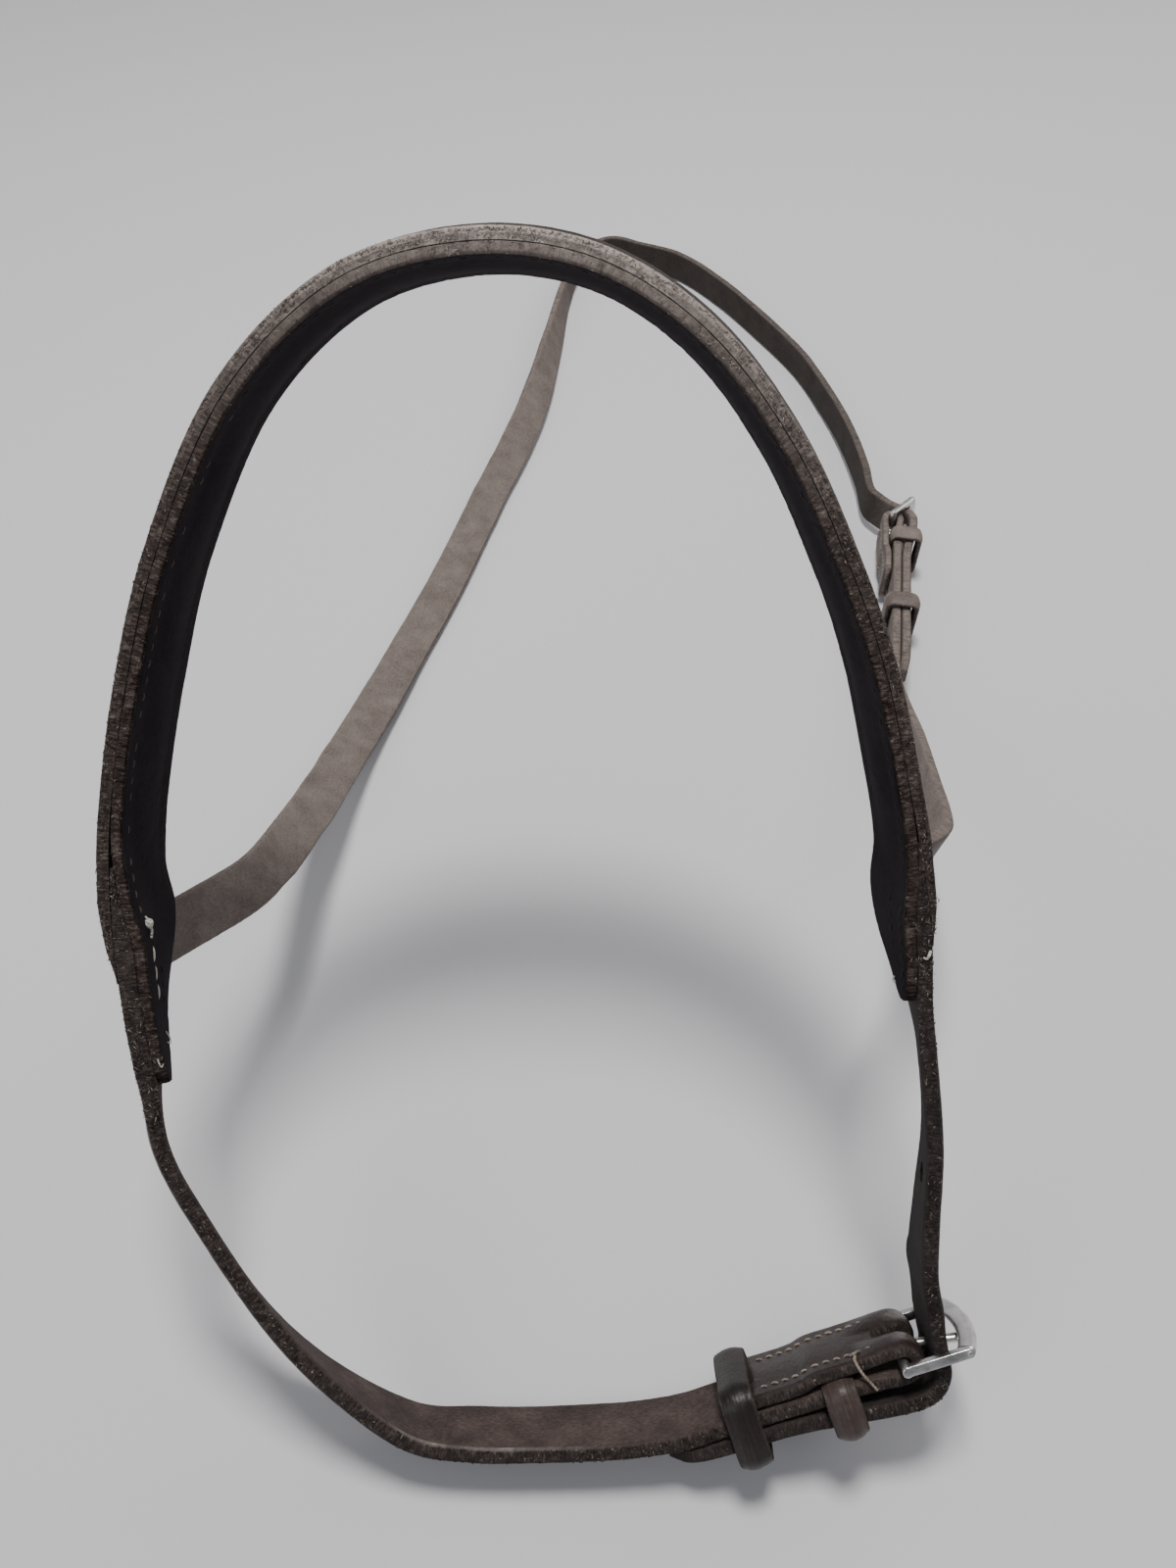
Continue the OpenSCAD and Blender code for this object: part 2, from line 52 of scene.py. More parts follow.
def hash01(i, seed):
    x = (np.asarray(i, np.int64) * 374761393 + seed * 668265263) & 0xFFFFFFFF
    x = ((x ^ (x >> 13)) * 1274126177) & 0xFFFFFFFF
    x = ((x ^ (x >> 16)) * 2246822519) & 0xFFFFFFFF
    return ((x ^ (x >> 15)) & 0xFFFFFF) / float(0xFFFFFF)


def vnoise(P, seed=0):
    """Smooth value noise in [-1, 1] at points P (N, 3)."""
    P = np.asarray(P, float)
    i = np.floor(P).astype(np.int64)
    f = P - i
    u = f * f * (3 - 2 * f)
    out = np.zeros(len(P))
    for dx in (0, 1):
        for dy in (0, 1):
            for dz in (0, 1):
                h = hash01((i[:, 0] + dx) * 73856093 + (i[:, 1] + dy) * 19349663 + (i[:, 2] + dz) * 83492791, seed)
                w = (u[:, 0] if dx else 1 - u[:, 0]) * (u[:, 1] if dy else 1 - u[:, 1]) * (u[:, 2] if dz else 1 - u[:, 2])
                out += w * h
    return out * 2 - 1


def smooth(x, a, b):
    f = np.clip((np.asarray(x, float) - a) / (b - a), 0, 1)
    return f * f * (3 - 2 * f)


def fbm(P, seed=0, octaves=3):
    s, a, t = np.zeros(len(P)), 1.0, 0.0
    for o in range(octaves):
        s += a * vnoise(np.asarray(P) * (2.03 ** o), seed + 17 * o)
        t += a
        a *= 0.5
    return s / t


# ------------------------------------------- routes, the same as in the solids
TILT = math.radians(49)
REST = np.array([2.66, 1.44, -0.28])
RING_O = np.array([-29, -258, 14.0]) + REST


def ring(x, l):
    return RING_O + np.array([x, l * math.cos(TILT), l * math.sin(TILT)])


W_LEFT, W_TOP, W_RIGHT = unit([-8, 81, -59]), unit([0, 84, -54]), unit([0, 81, -58])
NOSE_W, OUTER_T, LINING_T, RAISE, SEAM = 30.0, 2.4, 2.2, 2.2, 3.6
CHIN_W, CHIN_T, CHIN_FOLD = 16.0, 3.2, 2.6
HEAD_W, HEAD_T, HEAD_FOLD = 12.5, 3.0, 2.4
BAR_R, RIM_R, BOW_R, TONGUE_R, KEEP_T, KEEP_LEN, BOW = 1.1, 1.0, 1.05, 0.95, 1.8, 6.6, 2.0
CHIN_SIDE, HEAD_SIDE = 12.4, 10.8


class Local:
    """s along the strap, w across it, n outward."""

    def __init__(self, o, s, w):
        self.o, self.s = np.asarray(o, float), unit(s)
        self.w = ortho(w, self.s)
        self.n = np.cross(self.w, self.s)

    def __call__(self, s, n, w=0.0):
        return self.o + s * self.s + n * self.n + w * self.w

    def turned(self, deg):
        c, k = math.cos(math.radians(deg)), math.sin(math.radians(deg))
        out = Local(self.o, self.s, self.w)
        out.s = self.s * c + self.n * k
        out.n = self.n * c - self.s * k
        return out


CA, HA = math.radians(19), math.radians(80)
CH = Local(ring(74.5, 19.8), [math.cos(CA), math.sin(CA) * math.cos(TILT), math.sin(CA) * math.sin(TILT)], [0, 66, -75])
HD = Local(np.array([93, 38, 15.8]) + REST, [math.cos(HA), math.sin(HA), 0], [0, 0, -1])
HDF = HD.turned(35)


def spline(S, k):
    S = [np.asarray(s, float) for s in S]
    m = len(S) - 1
    out = []
    for i in range(m):
        a = S[i - 1] if i > 0 else 2 * S[0] - S[1]
        d = S[i + 2] if i + 2 <= m else 2 * S[m] - S[m - 1]
        b, c = S[i], S[i + 1]
        for j in range(k):
            f = j / k
            out.append(0.5 * (2 * b + (c - a) * f + (2 * a - 5 * b + 4 * c - d) * f * f + (3 * b - a - 3 * c + d) * f ** 3))
    out.append(S[m])
    return np.array(out)


class Run:
    """Stations resampled evenly along their length, with a frame at each."""

    def __init__(self, S, ds, k=24):
        Q = spline(S, k)
        L = np.concatenate([[0], np.cumsum(np.linalg.norm(np.diff(Q[:, :3], axis=0), axis=1))])
        keep = np.concatenate([[True], np.diff(L) > 1e-9])
        Q, L = Q[keep], L[keep]
        n = max(int(round(L[-1] / ds)), 4)
        self.u = np.linspace(0, L[-1], n + 1)
        self.q = np.stack([np.interp(self.u, L, Q[:, j]) for j in range(Q.shape[1])], 1)
        self.L = L[-1]
        self.frames()

    def frames(self):
        self.p = self.q[:, :3]
        t = np.gradient(self.p, axis=0)
        self.t = t / np.linalg.norm(t, axis=1)[:, None]
        w = self.q[:, 3:6]
        b = w - (w * self.t).sum(1)[:, None] * self.t
        self.b = b / np.linalg.norm(b, axis=1)[:, None]
        self.n = np.cross(self.t, self.b)

    def at(self, u):
        u = np.atleast_1d(u)
        g = lambda A: np.stack([np.interp(u, self.u, A[:, j]) for j in range(A.shape[1])], 1)
        return g(self.p), g(self.t), g(self.b), g(self.n), g(self.q)


# ------------------------------------------------------------------ stations
NOSE_LINE = [
    [-70.2, 75, 0.36, 0.3, -3.1, 0, -0.26], [-71.9, 86, 0.66, 0.3, -3.1, 0, -0.2],
    [-72.8, 95, 0.93, 0.3, -3.1, 0, -0.14], [-73.4, 104, 1, 0.3, -3.1, 0, -0.1],
    [-73.5, 114, 1, 0.2, -1.2, 0.3, -0.08], [-72.8, 127, 1, 0.05, -0.05, 1, -0.02],
    [-69, 149, 1, 0.05, -0.05, 1, 0], [-62, 174, 1, 0.05, -0.05, 1, 0],
    [-49, 201, 1, 0.05, -0.05, 1, 0], [-30, 219, 1, 0.05, -0.05, 1, 0],
    [-8, 225.5, 1, 0.05, -0.05, 1, 0], [14, 223, 1, 0.05, -0.05, 1, 0],
    [33, 211.5, 1, 0.05, -0.05, 1, 0], [48, 193, 1, 0.05, -0.05, 1, 0],
    [59, 171, 1, 0.05, -0.05, 1, 0], [66, 152, 1, 0.05, -0.05, 1, 0],
    [71, 131, 1, 0.05, -0.05, 1, 0], [73.3, 119, 1, 0.25, -0.6, 0.3, 0.02],
    [74.3, 109, 1, 1.2, -1.6, 0, 0.04], [75, 100, 0.86, 1.2, -1.6, 0, 0.06],
    [75.5, 92, 0.45, 1.2, -1.6, 0, 0.08]]


def nose_wv(f):
    return W_LEFT + (W_TOP - W_LEFT) * f * 2 if f < 0.5 else W_TOP + (W_RIGHT - W_TOP) * (f * 2 - 1)


# columns: place, width direction, width, outer gap, lining gap, padding share, sample number
NOSE_ST = [np.concatenate([ring(q[0], q[1]), unit(nose_wv(i / (len(NOSE_LINE) - 1)) + np.array([q[6], 0, 0])),
                           [NOSE_W * q[2], q[3], q[4], q[5], 5.0 * i]]) for i, q in enumerate(NOSE_LINE)]
NOSE_Q = spline(NOSE_ST, 5)


def outer_t(i):
    """Thickness of the outer layer at sample i: skived thin towards both of its ends."""
    return OUTER_T * (1 - 0.75 * np.clip((19 - i) / 8, 0, 1) - 0.75 * np.clip((i - 83) / 10, 0, 1))


C_IN, B_IN, C_MAIN = 3.3, 2.7, 0.25 + CHIN_T / 2
C_RAD, C_TUCK, C_BACK, C_BIL = BAR_R + 0.35 + CHIN_FOLD / 2, 1.15 + CHIN_FOLD / 2, 0.2 + CHIN_FOLD / 2, 5.3


def rs(x, l, w, t, c=0.0):
    return np.concatenate([ring(x, l), unit(w), [CHIN_W, t, c]])


def cs(s, n, t):
    return np.concatenate([CH(s, n), CH.w, [CHIN_W, t, 0]])


def tuck(q, t, c):
    return np.concatenate([q[:6], [CHIN_W, t, c]])


CHIN_ST = [tuck(NOSE_Q[22], 0.6, 0.25), tuck(NOSE_ST[4], 1.2, 0.5)] + [tuck(NOSE_ST[i], C_IN, 1.4) for i in (3, 2, 1, 0)]
CHIN_ST += [rs(-66.8, 62, [-44, 57, -70], CHIN_T, 0.4), rs(-59, 47, [-44, 51, -74], CHIN_T),
            rs(-48, 28.5, [-40, 47, -79], CHIN_T), rs(-36.5, 14.5, [-28, 50, -82], CHIN_T),
            rs(-22.5, 3, [-10, 59, -80], CHIN_T), rs(-10, 0.3, [0, 66, -75], CHIN_T),
            rs(2, 0.2, [2, 66, -75], CHIN_T), rs(13, 0.5, [4, 67, -74], CHIN_T), rs(22, 1.2, [4, 67, -74], CHIN_T),
            cs(-46, C_MAIN, CHIN_T), cs(-38, C_MAIN, CHIN_T), cs(-30, C_MAIN, CHIN_T), cs(-20, C_MAIN, CHIN_T),
            cs(-12, C_MAIN, CHIN_T), cs(-6, C_MAIN + 0.3, CHIN_T - 0.2), cs(-2.5, C_RAD - 0.1, CHIN_FOLD + 0.1)]
CHIN_ST += [cs(C_RAD * math.sin(g), C_RAD * math.cos(g), CHIN_FOLD) for g in np.radians(np.arange(0, 181, 22.5))]
CHIN_ST += [cs(-3, -C_RAD, CHIN_FOLD), cs(-7, -C_TUCK - 0.1, CHIN_FOLD), cs(-11, -C_TUCK, CHIN_FOLD),
            cs(-17, -C_TUCK, CHIN_FOLD), cs(-20, -C_BACK - 0.25, CHIN_FOLD), cs(-23, -C_BACK, CHIN_FOLD),
            cs(-27, -C_BACK, CHIN_FOLD), cs(-31, -C_BACK, CHIN_FOLD)]

BILLET_ST = [tuck(NOSE_Q[83], 0.35, -0.11), tuck(NOSE_ST[17], 0.75, -0.18)] + [tuck(NOSE_ST[i], B_IN, -0.2) for i in (18, 19, 20)]
BILLET_ST += [rs(76.6, 80, [20, 74, -64], CHIN_T, 0), rs(78.3, 64, [20, 74, -64], CHIN_T),
              rs(78.4, 49, [14, 75, -65], CHIN_T), rs(78.7, 38, [8, 78, -61], CHIN_T),
              cs(9, -8, CHIN_T), cs(7.9, -3.5, CHIN_T), cs(7.2, 0.8, CHIN_T), cs(6.6, 4.2, CHIN_T),
              cs(4.4, 6.9, CHIN_T), cs(1, 8, CHIN_T), cs(-4, 7.8, CHIN_T), cs(-10, 7.1, CHIN_T),
              cs(-17, 6.2, CHIN_T), cs(-24, 5.5, CHIN_T), cs(-32, C_BIL, CHIN_T), cs(-40, C_BIL, CHIN_T),
              np.concatenate([CH(-46, C_BIL, 1.2), CH.w, [CHIN_W - 2.4, CHIN_T, 0]]),
              np.concatenate([CH(-50, C_BIL - 0.2, 4.5), CH.w, [CHIN_W - 9, CHIN_T - 0.4, 0]])]

H_MAIN, H_RAD = 0.25 + HEAD_T / 2, BAR_R + 0.35 + HEAD_FOLD / 2
H_TUCK, H_BACK, H_BIL = 1.15 + HEAD_FOLD / 2, 0.2 + HEAD_FOLD / 2, 4.9


def hx(p, w, t=HEAD_T):
    return np.concatenate([np.asarray(p, float), unit(w), [HEAD_W, t, 0]])


def hg(p, w):
    return hx(np.asarray(p, float) + REST, w)


def hs(s, n, t):
    return np.concatenate([HD(s, n, HEAD_W / 2), -HD.w, [HEAD_W, t, 0]])


LEFT_IN, RIGHT_IN, RIGHT_T = ring(-70.5, 92), ring(74.47, 103), 2.6
LEFT_DIR, RIGHT_DIR = unit(ring(-73.4, 104) - ring(-72, 88)), unit(ring(74.3, 109) - ring(75.5, 92))
NW = [q[3:6] for q in NOSE_ST]
LEFT_WV, RIGHT_WV = unit(NW[1] + NW[2]), unit(NW[18] + 2 * NW[19])
LEFT_TW = (NW[3] - NW[1]) / np.linalg.norm(NOSE_ST[3][:3] - NOSE_ST[1][:3])
RIGHT_TW = (NW[18] - NW[20]) / np.linalg.norm(NOSE_ST[18][:3] - NOSE_ST[20][:3])
UP = [0, 0, 1]
HEAD_ST = [hx(LEFT_IN + d * LEFT_WV, LEFT_DIR + d * LEFT_TW) for d in (17.5, 24, 30)]
HEAD_ST += [hx(LEFT_IN + 35 * LEFT_WV, [-7, 64, 76]),
           hg([-103.5, -158.5, 55.5], [-18, 58, 78]), hg([-96.5, -137, 41], [-45, 42, 78]),
           hg([-93, -105, 24], [-78, 20, 60]), hg([-88, -66, 9], [-90, 20, 36]),
           hg([-78, -26, 4.2], [-92, 30, 20]), hg([-65, 20, 3.4], [-93, 32, 20]),
           hg([-53.5, 66, 4], [-90, 28, 30]), hg([-39.5, 119, 6], [-75, 25, 60]),
           hg([-31.5, 172, 7], [-40, 10, 90]), hg([-26.5, 214, 7], [-10, 0, 99]),
           hg([-20, 243, 7], UP), hg([-6, 257, 7], UP), hg([10, 251, 7], UP), hg([28, 240, 7], UP),
           hg([45, 216, 7], UP), hg([60, 187, 7], UP), hg([74, 155, 7], UP), hg([82.5, 121, 7.6], UP),
           hg([86.5, 95, 8.4], UP), hg([88, 72, 9.2], UP),
           hs(17, -8.3, HEAD_T), hs(11.5, -4.5, HEAD_T), hs(8, -0.5, HEAD_T), hs(5.7, 4, HEAD_T),
           hs(2.5, 6.8, HEAD_T), hs(-2, 7.2, HEAD_T), hs(-8, 6.5, HEAD_T), hs(-14, 5.5, HEAD_T),
           hs(-22, H_BIL, HEAD_T), hs(-36, H_BIL, HEAD_T), hs(-50, H_BIL, HEAD_T), hs(-64, H_BIL, HEAD_T),
           np.concatenate([HD(-70, H_BIL, HEAD_W / 2), -HD.w, [HEAD_W - 2, HEAD_T, 0]]),
           np.concatenate([HD(-74.5, H_BIL - 0.2, HEAD_W / 2), -HD.w, [HEAD_W - 7, HEAD_T - 0.4, 0]])]

CHEEK_ST = [hx(RIGHT_IN + d * RIGHT_WV, RIGHT_DIR + d * RIGHT_TW, RIGHT_T) for d in (17.5, 24, 30)]
CHEEK_ST += [hg([48.6, -161.5, 71.4], [5, 66, 75]), hg([52, -157, 69.4], [20, 62, 75]), hg([57, -151.5, 66], [40, 54, 73]),
            hg([62.5, -143, 59.5], [52, 48, 70]), hg([67.5, -131, 50], [55, 45, 70]),
            hg([73, -104, 35], [40, 25, 88]), hg([77.5, -79, 22.5], [20, 8, 97]), hg([79.8, -58, 13.5], [5, 2, 99]),
            hs(-80, H_MAIN, HEAD_T), hs(-64, H_MAIN, HEAD_T), hs(-48, H_MAIN, HEAD_T), hs(-32, H_MAIN, HEAD_T),
            hs(-18, H_MAIN, HEAD_T), hs(-10, H_MAIN, HEAD_T), hs(-5.5, H_MAIN + 0.3, HEAD_T - 0.2),
            hs(-2.5, H_RAD - 0.1, HEAD_FOLD + 0.1)]
CHEEK_ST += [hs(H_RAD * math.sin(g), H_RAD * math.cos(g), HEAD_FOLD) for g in np.radians(np.arange(0, 181, 22.5))]
CHEEK_ST += [hs(-3, -H_RAD, HEAD_FOLD), hs(-6, -H_TUCK - 0.1, HEAD_FOLD), hs(-10, -H_TUCK, HEAD_FOLD),
             hs(-15, -H_TUCK, HEAD_FOLD), hs(-18, -H_BACK - 0.25, HEAD_FOLD), hs(-21, -H_BACK, HEAD_FOLD),
             hs(-25, -H_BACK, HEAD_FOLD), hs(-29, -H_BACK, HEAD_FOLD)]


# ----------------------------------------------------------------- mesh making
def make_mesh(name, verts, quads, tris=(), strap=None, kind=None, smooth=True):
    """Mesh object in metres; strap holds (along, across, depth) in mm, kind holds (edge, grain, wear and painted
    light).
    """
    me = bpy.data.meshes.new(name)
    faces = [tuple(map(int, f)) for f in quads] + [tuple(map(int, f)) for f in tris]
    me.from_pydata((np.asarray(verts) * MM).tolist(), [], faces)
    me.update()
    for key, val in (("strap", strap), ("kind", kind)):
        if val is not None:
            at = me.attributes.new(key, "FLOAT_VECTOR", "POINT")
            at.data.foreach_set("vector", np.asarray(val, np.float32).ravel())
    if smooth:
        me.polygons.foreach_set("use_smooth", np.ones(len(me.polygons), bool))
    ob = bpy.data.objects.new(name, me)
    bpy.context.scene.collection.objects.link(ob)
    return ob


def loft(R, closed=False, flip=False):
    """Faces for rings R (m, c, 3): quads, and end-cap triangles with two extra centre points."""
    m, c = R.shape[:2]
    i = np.arange(m if closed else m - 1)
    j = np.arange(c)
    I, J = np.meshgrid(i, j, indexing="ij")
    a = (I % m) * c + J
    b = (I % m) * c + (J + 1) % c
    d = ((I + 1) % m) * c + J
    e = ((I + 1) % m) * c + (J + 1) % c
    quads = np.stack([a, b, e, d], -1).reshape(-1, 4)
    tris = []
    if not closed:
        tris = [[m * c, (k + 1) % c, k] for k in range(c)] + [[m * c + 1, (m - 1) * c + k, (m - 1) * c + (k + 1) % c] for k in range(c)]
    if flip:
        quads = quads[:, ::-1]
        tris = [t[::-1] for t in tris]
    return quads, tris


def rect_profile(nf=16, nc=4, ne=3):
    """Round-cornered strip: rows (fa, oa, fh, oh, na, nh, edge) with offsets in corner radii."""
    P = []
    for f in np.linspace(0, 1, nf):
        P.append((f, 1 - 2 * f, -1, 0, 0, -1, 0.0))
    for k in range(1, nc):
        g = math.pi / 2 * k / nc
        P.append((1, -1 + math.sin(g), -1, 1 - math.cos(g), math.sin(g), -math.cos(g), math.sin(g) ** 2))
    for f in np.linspace(-1, 1, ne):
        P.append((1, 0, f, -f, 1, 0, 1.0))
    for k in range(1, nc):
        g = math.pi / 2 * k / nc
        P.append((1, -1 + math.cos(g), 1, -1 + math.sin(g), math.cos(g), math.sin(g), math.cos(g) ** 2))
    for f in np.linspace(1, 0, nf):
        P.append((f, 1 - 2 * f, 1, 0, 0, 1, 0.0))
    for k in range(1, nc):
        g = math.pi / 2 * k / nc
        P.append((0, 1 - math.sin(g), 1, -1 + math.cos(g), -math.sin(g), math.cos(g), math.sin(g) ** 2))
    for f in np.linspace(1, -1, ne):
        P.append((0, 0, f, -f, -1, 0, 1.0))
    for k in range(1, nc):
        g = math.pi / 2 * k / nc
        P.append((0, 1 - math.cos(g), -1, 1 - math.sin(g), -math.cos(g), -math.sin(g), math.cos(g) ** 2))
    return np.array(P)


def strap_mesh(name, run, lead, grain, rad=0.8, edge_amp=0.16, face_amp=0.05, wave=0.12, seed=1, wear_and_light=None, nf=16, bulge=None):
    """Leather strap swept along run. grain is +1 or -1: the face that is the smooth side."""
    pr = rect_profile(nf)
    m, c = len(run.u), len(pr)
    W, T, C = run.q[:, 6].copy(), run.q[:, 7].copy(), run.q[:, 8]
    r = np.minimum(rad(run.u) if callable(rad) else rad, T * 0.42)
    a = pr[None, :, 0] * W[:, None] + pr[None, :, 1] * r[:, None] - lead * W[:, None]
    h = pr[None, :, 2] * (T / 2)[:, None] + pr[None, :, 3] * r[:, None]
    base = run.p + C[:, None] * run.n
    R = base[:, None, :] + a[..., None] * run.b[:, None, :] + h[..., None] * run.n[:, None, :]
    nrm = pr[None, :, 4, None] * run.b[:, None, :] + pr[None, :, 5, None] * run.n[:, None, :]
    flat = R.reshape(-1, 3)
    edge = np.tile(pr[:, 6], m)
    uu = np.repeat(run.u, c)
    low = np.stack([uu * 0.11, np.zeros_like(uu) + seed * 7.1, np.sign(np.tile(pr[:, 4], m)) * 3.3], 1)
    d = edge * (edge_amp * fbm(flat * 1.35, seed, 3) + wave * vnoise(low, seed + 5)) \
        + (1 - edge) * (face_amp * fbm(flat * 0.55, seed + 9, 2))
    if bulge is not None:
        d = d + (1 - edge) * bulge(uu, a.reshape(-1), np.tile(pr[:, 5], m))
    flat = flat + nrm.reshape(-1, 3) * d[:, None]
    strap = np.stack([uu, a.reshape(-1), h.reshape(-1)], 1)
    g = np.clip(0.5 + 0.5 * grain * np.sign(np.tile(pr[:, 5], m)), 0, 1)
    wr = np.zeros((m, c)) if wear_and_light is None else wear_and_light(run.u[:, None], pr[None]) + np.zeros((m, c))
    kind = np.stack([edge, g, wr.reshape(-1)], 1)
    V = np.concatenate([flat, [flat[:c].mean(0)], [flat[-c:].mean(0)]])
    ext = lambda A: np.concatenate([A, [A[:c].mean(0)], [A[-c:].mean(0)]])
    kind = ext(kind)
    kind[-2:, 0] = 1
    q, t = loft(flat.reshape(m, c, 3))
    return make_mesh(name, V, q, t, ext(strap), kind)


def cut(ob, cutter):
    """Takes cutter away from ob with an exact boolean, applied to the mesh. The mesh's attributes are carried over."""
    old = ob.data
    tree = kdtree.KDTree(len(old.vertices))
    for i, v in enumerate(old.vertices):
        tree.insert(v.co, i)
    tree.balance()
    mod = ob.modifiers.new("cut", "BOOLEAN")
    mod.operation, mod.solver, mod.object = "DIFFERENCE", "EXACT", cutter
    bpy.context.view_layer.update()
    dg = bpy.context.evaluated_depsgraph_get()
    me = bpy.data.meshes.new_from_object(ob.evaluated_get(dg))
    hit = [tree.find(v.co) for v in me.vertices]
    who = np.array([h[1] for h in hit])
    fresh = np.array([h[2] for h in hit]) > 2e-5
    for key in ("strap", "kind"):
        val = np.empty(len(old.vertices) * 3, np.float32)
        old.attributes[key].data.foreach_get("vector", val)
        val = val.reshape(-1, 3)[who]
        if key == "kind":
            val[fresh, 0] = 1
        at = me.attributes.get(key) or me.attributes.new(key, "FLOAT_VECTOR", "POINT")
        at.data.foreach_set("vector", val.ravel())
    ob.modifiers.clear()
    ob.data = me
    bpy.data.meshes.remove(old)
    bpy.data.objects.remove(cutter)


def prism(name, origin, ex, ey, ez, outline, z0, z1):
    """Straight prism of a 2-D outline, for cutting."""
    n = len(outline)
    V = [origin + x * ex + y * ey + z * ez for z in (z0, z1) for x, y in outline]
    F = [[i, (i + 1) % n, n + (i + 1) % n, n + i] for i in range(n)]
    me = bpy.data.meshes.new(name)
    me.from_pydata((np.array(V) * MM).tolist(), [], F + [list(range(n))[::-1], list(range(n, 2 * n))])
    me.update()
    ob = bpy.data.objects.new(name, me)
    bpy.context.scene.collection.objects.link(ob)
    return ob


def circle_pts(r, n=24, ry=None):
    ry = r if ry is None else ry
    return [(r * math.cos(2 * math.pi * i / n), ry * math.sin(2 * math.pi * i / n)) for i in range(n)]


def tube_rings(P, rad, nseg=10, up=None, flat=1.0):
    """Rings round a polyline P (k, 3) with radius per point."""
    P = np.asarray(P, float)
    t = np.gradient(P, axis=0)
    t /= np.linalg.norm(t, axis=1)[:, None]
    up = np.array([0.3, 0.2, 0.93]) if up is None else np.asarray(up, float)
    x = np.cross(t, up)
    x /= np.linalg.norm(x, axis=1)[:, None]
    y = np.cross(x, t)
    g = 2 * math.pi * np.arange(nseg) / nseg
    rad = np.broadcast_to(np.asarray(rad, float), (len(P),))
    return P[:, None, :] + rad[:, None, None] * (np.cos(g)[None, :, None] * x[:, None, :] + flat * np.sin(g)[None, :, None] * y[:, None, :])


class Bag:
    """Collects separate closed shells into one mesh."""

    def __init__(self):
        self.v, self.q, self.t, self.s, self.k, self.n = [], [], [], [], [], 0

    def add(self, R, along=0.0, closed=False, seed=0.0):
        m, c = R.shape[:2]
        q, t = loft(R, closed, flip=True)
        V = R.reshape(-1, 3)
        L = np.concatenate([[0], np.cumsum(np.linalg.norm(np.diff(R.mean(1), axis=0), axis=1))])
        S = np.stack([np.repeat(L + along, c), np.tile(np.arange(c) / c, m), np.full(m * c, seed)], 1)
        if not closed:
            V = np.concatenate([V, [R[0].mean(0)], [R[-1].mean(0)]])
            S = np.concatenate([S, S[:1], S[-1:]])
        self.v.append(V)
        self.s.append(S)
        self.q.append(q + self.n)
        self.t += [[i + self.n for i in f] for f in t]
        self.n += len(V)

    def build(self, name, smooth=True):
        V = np.concatenate(self.v)
        S = np.concatenate(self.s)
        return make_mesh(name, V, np.concatenate(self.q), self.t, S, np.zeros_like(S), smooth)


def stitch(bag, run, u, length, a, hgt, sign, r, seed, skew=0.0, c=None):
    """One stitch lying along the run at distance a across it, on the face at height hgt."""
    f = np.linspace(-1, 1, 9)
    k = hash01(np.arange(4) + int(u * 131), seed)
    lu = u + f * length / 2
    p, t, b, n, q = run.at(lu)
    off = a + skew * f + (k[0] - 0.5) * 0.18
    lift = r * 0.55 - (np.abs(f) ** 3.2) * r * 2.1
    cc = q[:, 8] * 0 if c is None else c(lu)
    P = p + off[:, None] * b + ((hgt + cc) + sign * lift)[:, None] * n
    rad = r * (0.62 + 0.38 * np.sqrt(np.clip(1 - f ** 2 * 0.92, 0, 1))) * (0.92 + 0.2 * k[1])
    bag.add(tube_rings(P, rad, 8, up=n[4], flat=0.8), along=u, seed=float(k[2]))


def strand(bag, pts, r0, r1, seed, nseg=7, k=6):
    P = spline([np.asarray(p, float) for p in pts], k)
    f = np.linspace(0, 1, len(P))
    bag.add(tube_rings(P, r0 + (r1 - r0) * f, nseg), seed=seed)


